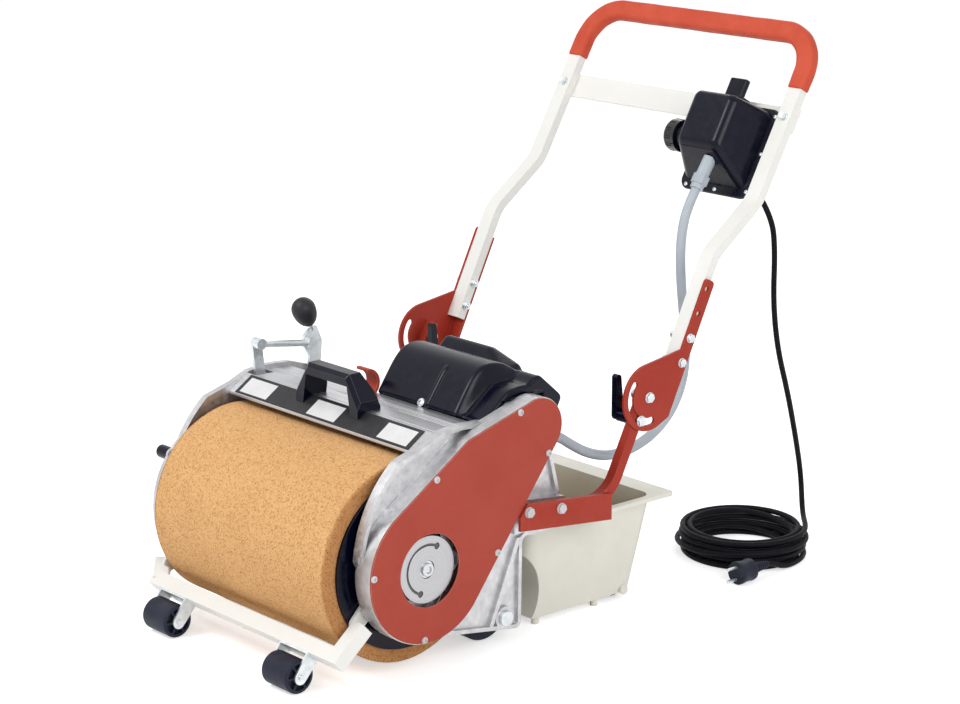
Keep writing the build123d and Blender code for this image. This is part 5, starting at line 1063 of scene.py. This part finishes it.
BOLTS = {
    "cover_screws": ("chassis", socket_head, SCREW), "arm_bolts": ("chassis", hex_head, SCREW),
    "quadrant_bolts": ("chassis", hex_head, ZINC), "handle_bolts": ("handle", hex_head, ZINC),
}
REPLACED = {
    "sponge_sleeve", "power_cord_drop", "power_cord_coil", "conduit", "power_plug", "handle_grip",
    "motor_cover", "lever_knob", "switch_box", *BOLTS,
}

sponge_sleeve()
foam_grip()
mains_lead()
conduit()
motor_hood()
egg_knob()
switch_case()
for name, (body, head, material) in BOLTS.items():
    fasteners(name, body, head, material)
fittings()


# Edges of the CAD pieces, in metres

EDGE, PAINTED_EDGE, COVER_EDGE = 0.0008, 0.0010, 0.0016
WIDE_EDGES = {"bridge_handle": 0.0035, "switch_box_lid": 0.0025}
WELD_GAP = 2e-5
FLAT_ANGLE, EDGE_ANGLE = math.radians(0.4), math.radians(32.0)


def soften(obj, width, segments=2, edge=None):
    """Small rounded edges on a CAD piece, with its flat faces kept flat, and a painted highlight on the
    bevels if an edge material is given.
    """
    weld = obj.modifiers.new("weld", "WELD")
    weld.merge_threshold = WELD_GAP
    flat = obj.modifiers.new("flat", "DECIMATE")
    flat.decimate_type = "DISSOLVE"
    flat.angle_limit = FLAT_ANGLE
    bevel = obj.modifiers.new("bevel", "BEVEL")
    bevel.width = width
    bevel.segments = segments
    bevel.limit_method = "ANGLE"
    bevel.angle_limit = EDGE_ANGLE
    bevel.use_clamp_overlap = True
    # The edge material paints a highlight on the bevels
    if edge:
        obj.data.materials.append(edge)
        bevel.material = 1
    normal = obj.modifiers.new("normal", "WEIGHTED_NORMAL")
    normal.keep_sharp = True


for name, obj in nodes.items():
    if name in REPLACED:
        continue
    if name == "drive_cover":
        soften(obj, COVER_EDGE, edge=COVER_HIGHLIGHT)
    elif name in WIDE_EDGES:
        soften(obj, WIDE_EDGES[name], segments=4, edge=BLACK_EDGE_HIGHLIGHT)
    elif SLOT_OF[name] == "red_paint":
        soften(obj, PAINTED_EDGE, edge=RED_EDGE_HIGHLIGHT)
    else:
        soften(obj, EDGE)


# Stage, light and camera, in metres

SKY = 0.55
FLOOR_GLOW = 0.53
FLOOR_HALF, FLOOR_DROP = 30, 0.0002
LAMP_TARGET = (0, 0, 0.3)
LENS, SENSOR = 97.65, 36.0
CAMERA_TARGET = at(79.5, 240.48, 393.74)
CAMERA_TURN, CAMERA_RISE, CAMERA_FAR = math.radians(48.889), math.radians(14.342), 3.76607


def camera_mix(tree, seen, lit, out):
    """The first shader for rays from the camera and for mirrored ones, the second for all others."""
    ray = tree.nodes.new("ShaderNodeLightPath")
    pick = tree.nodes.new("ShaderNodeMixShader")
    shown = ray.outputs["Is Camera Ray"]
    for kind in ("Is Glossy Ray", "Is Transmission Ray"):
        either = tree.nodes.new("ShaderNodeMath")
        either.operation = "MAXIMUM"
        tree.links.new(shown, either.inputs[0])
        tree.links.new(ray.outputs[kind], either.inputs[1])
        shown = either.outputs[0]
    tree.links.new(shown, pick.inputs[0])
    tree.links.new(lit, pick.inputs[1])
    tree.links.new(seen, pick.inputs[2])
    tree.links.new(pick.outputs[0], out.inputs["Surface"])


def white_floor():
    """White floor that takes soft shadows."""
    mesh = bpy.data.meshes.new("floor")
    corners = [(x * FLOOR_HALF, y * FLOOR_HALF, 0) for x, y in ((-1, -1), (1, -1), (1, 1), (-1, 1))]
    mesh.from_pydata(corners, [], [(0, 1, 2, 3)])
    floor = linked("floor", mesh)
    floor.location.z = -FLOOR_DROP
    mat = bpy.data.materials.new("floor")
    tree = empty_tree(mat)
    out = tree.nodes.new("ShaderNodeOutputMaterial")
    matte = tree.nodes.new("ShaderNodeBsdfDiffuse")
    matte.inputs["Color"].default_value = (0.9, 0.9, 0.9, 1)
    glow = tree.nodes.new("ShaderNodeEmission")
    glow.inputs["Strength"].default_value = FLOOR_GLOW
    both = tree.nodes.new("ShaderNodeAddShader")
    tree.links.new(matte.outputs[0], both.inputs[0])
    tree.links.new(glow.outputs[0], both.inputs[1])
    camera_mix(tree, both.outputs[0], matte.outputs[0], out)
    dress(floor, mat)


def pale_world():
    """White behind the object, and an even pale light on it."""
    world = bpy.data.worlds.new("studio")
    scene.world = world
    tree = empty_tree(world)
    out = tree.nodes.new("ShaderNodeOutputWorld")
    seen = tree.nodes.new("ShaderNodeBackground")
    seen.inputs["Color"].default_value = (1, 1, 1, 1)
    lit = tree.nodes.new("ShaderNodeBackground")
    lit.inputs["Color"].default_value = (0.97, 0.98, 1.0, 1)
    lit.inputs["Strength"].default_value = SKY
    camera_mix(tree, seen.outputs[0], lit.outputs[0], out)


def lamp(name, place, size, power):
    data = bpy.data.lights.new(name, "AREA")
    data.shape = "RECTANGLE"
    data.size, data.size_y = size
    data.energy = power
    obj = linked(name, data)
    obj.location = place
    obj.rotation_euler = (Vector(LAMP_TARGET) - Vector(place)).to_track_quat("-Z", "Y").to_euler()


def camera():
    data = bpy.data.cameras.new("camera")
    data.sensor_width = SENSOR
    data.lens = LENS
    obj = linked("camera", data)
    level = math.cos(CAMERA_RISE)
    away = Vector((math.sin(CAMERA_TURN) * level, -math.cos(CAMERA_TURN) * level, math.sin(CAMERA_RISE)))
    obj.location = CAMERA_TARGET + away * CAMERA_FAR
    obj.rotation_euler = (-away).to_track_quat("-Z", "Y").to_euler()
    scene.camera = obj


scene.view_settings.view_transform = "Standard"
white_floor()
pale_world()
lamp("key", (-0.9, -2.6, 3.0), (1.9, 1.3), 65)
lamp("fill", (3.2, -0.8, 1.9), (2.0, 2.0), 51)
lamp("rim", (-1.4, 2.4, 2.2), (2.0, 1.0), 14)
camera()
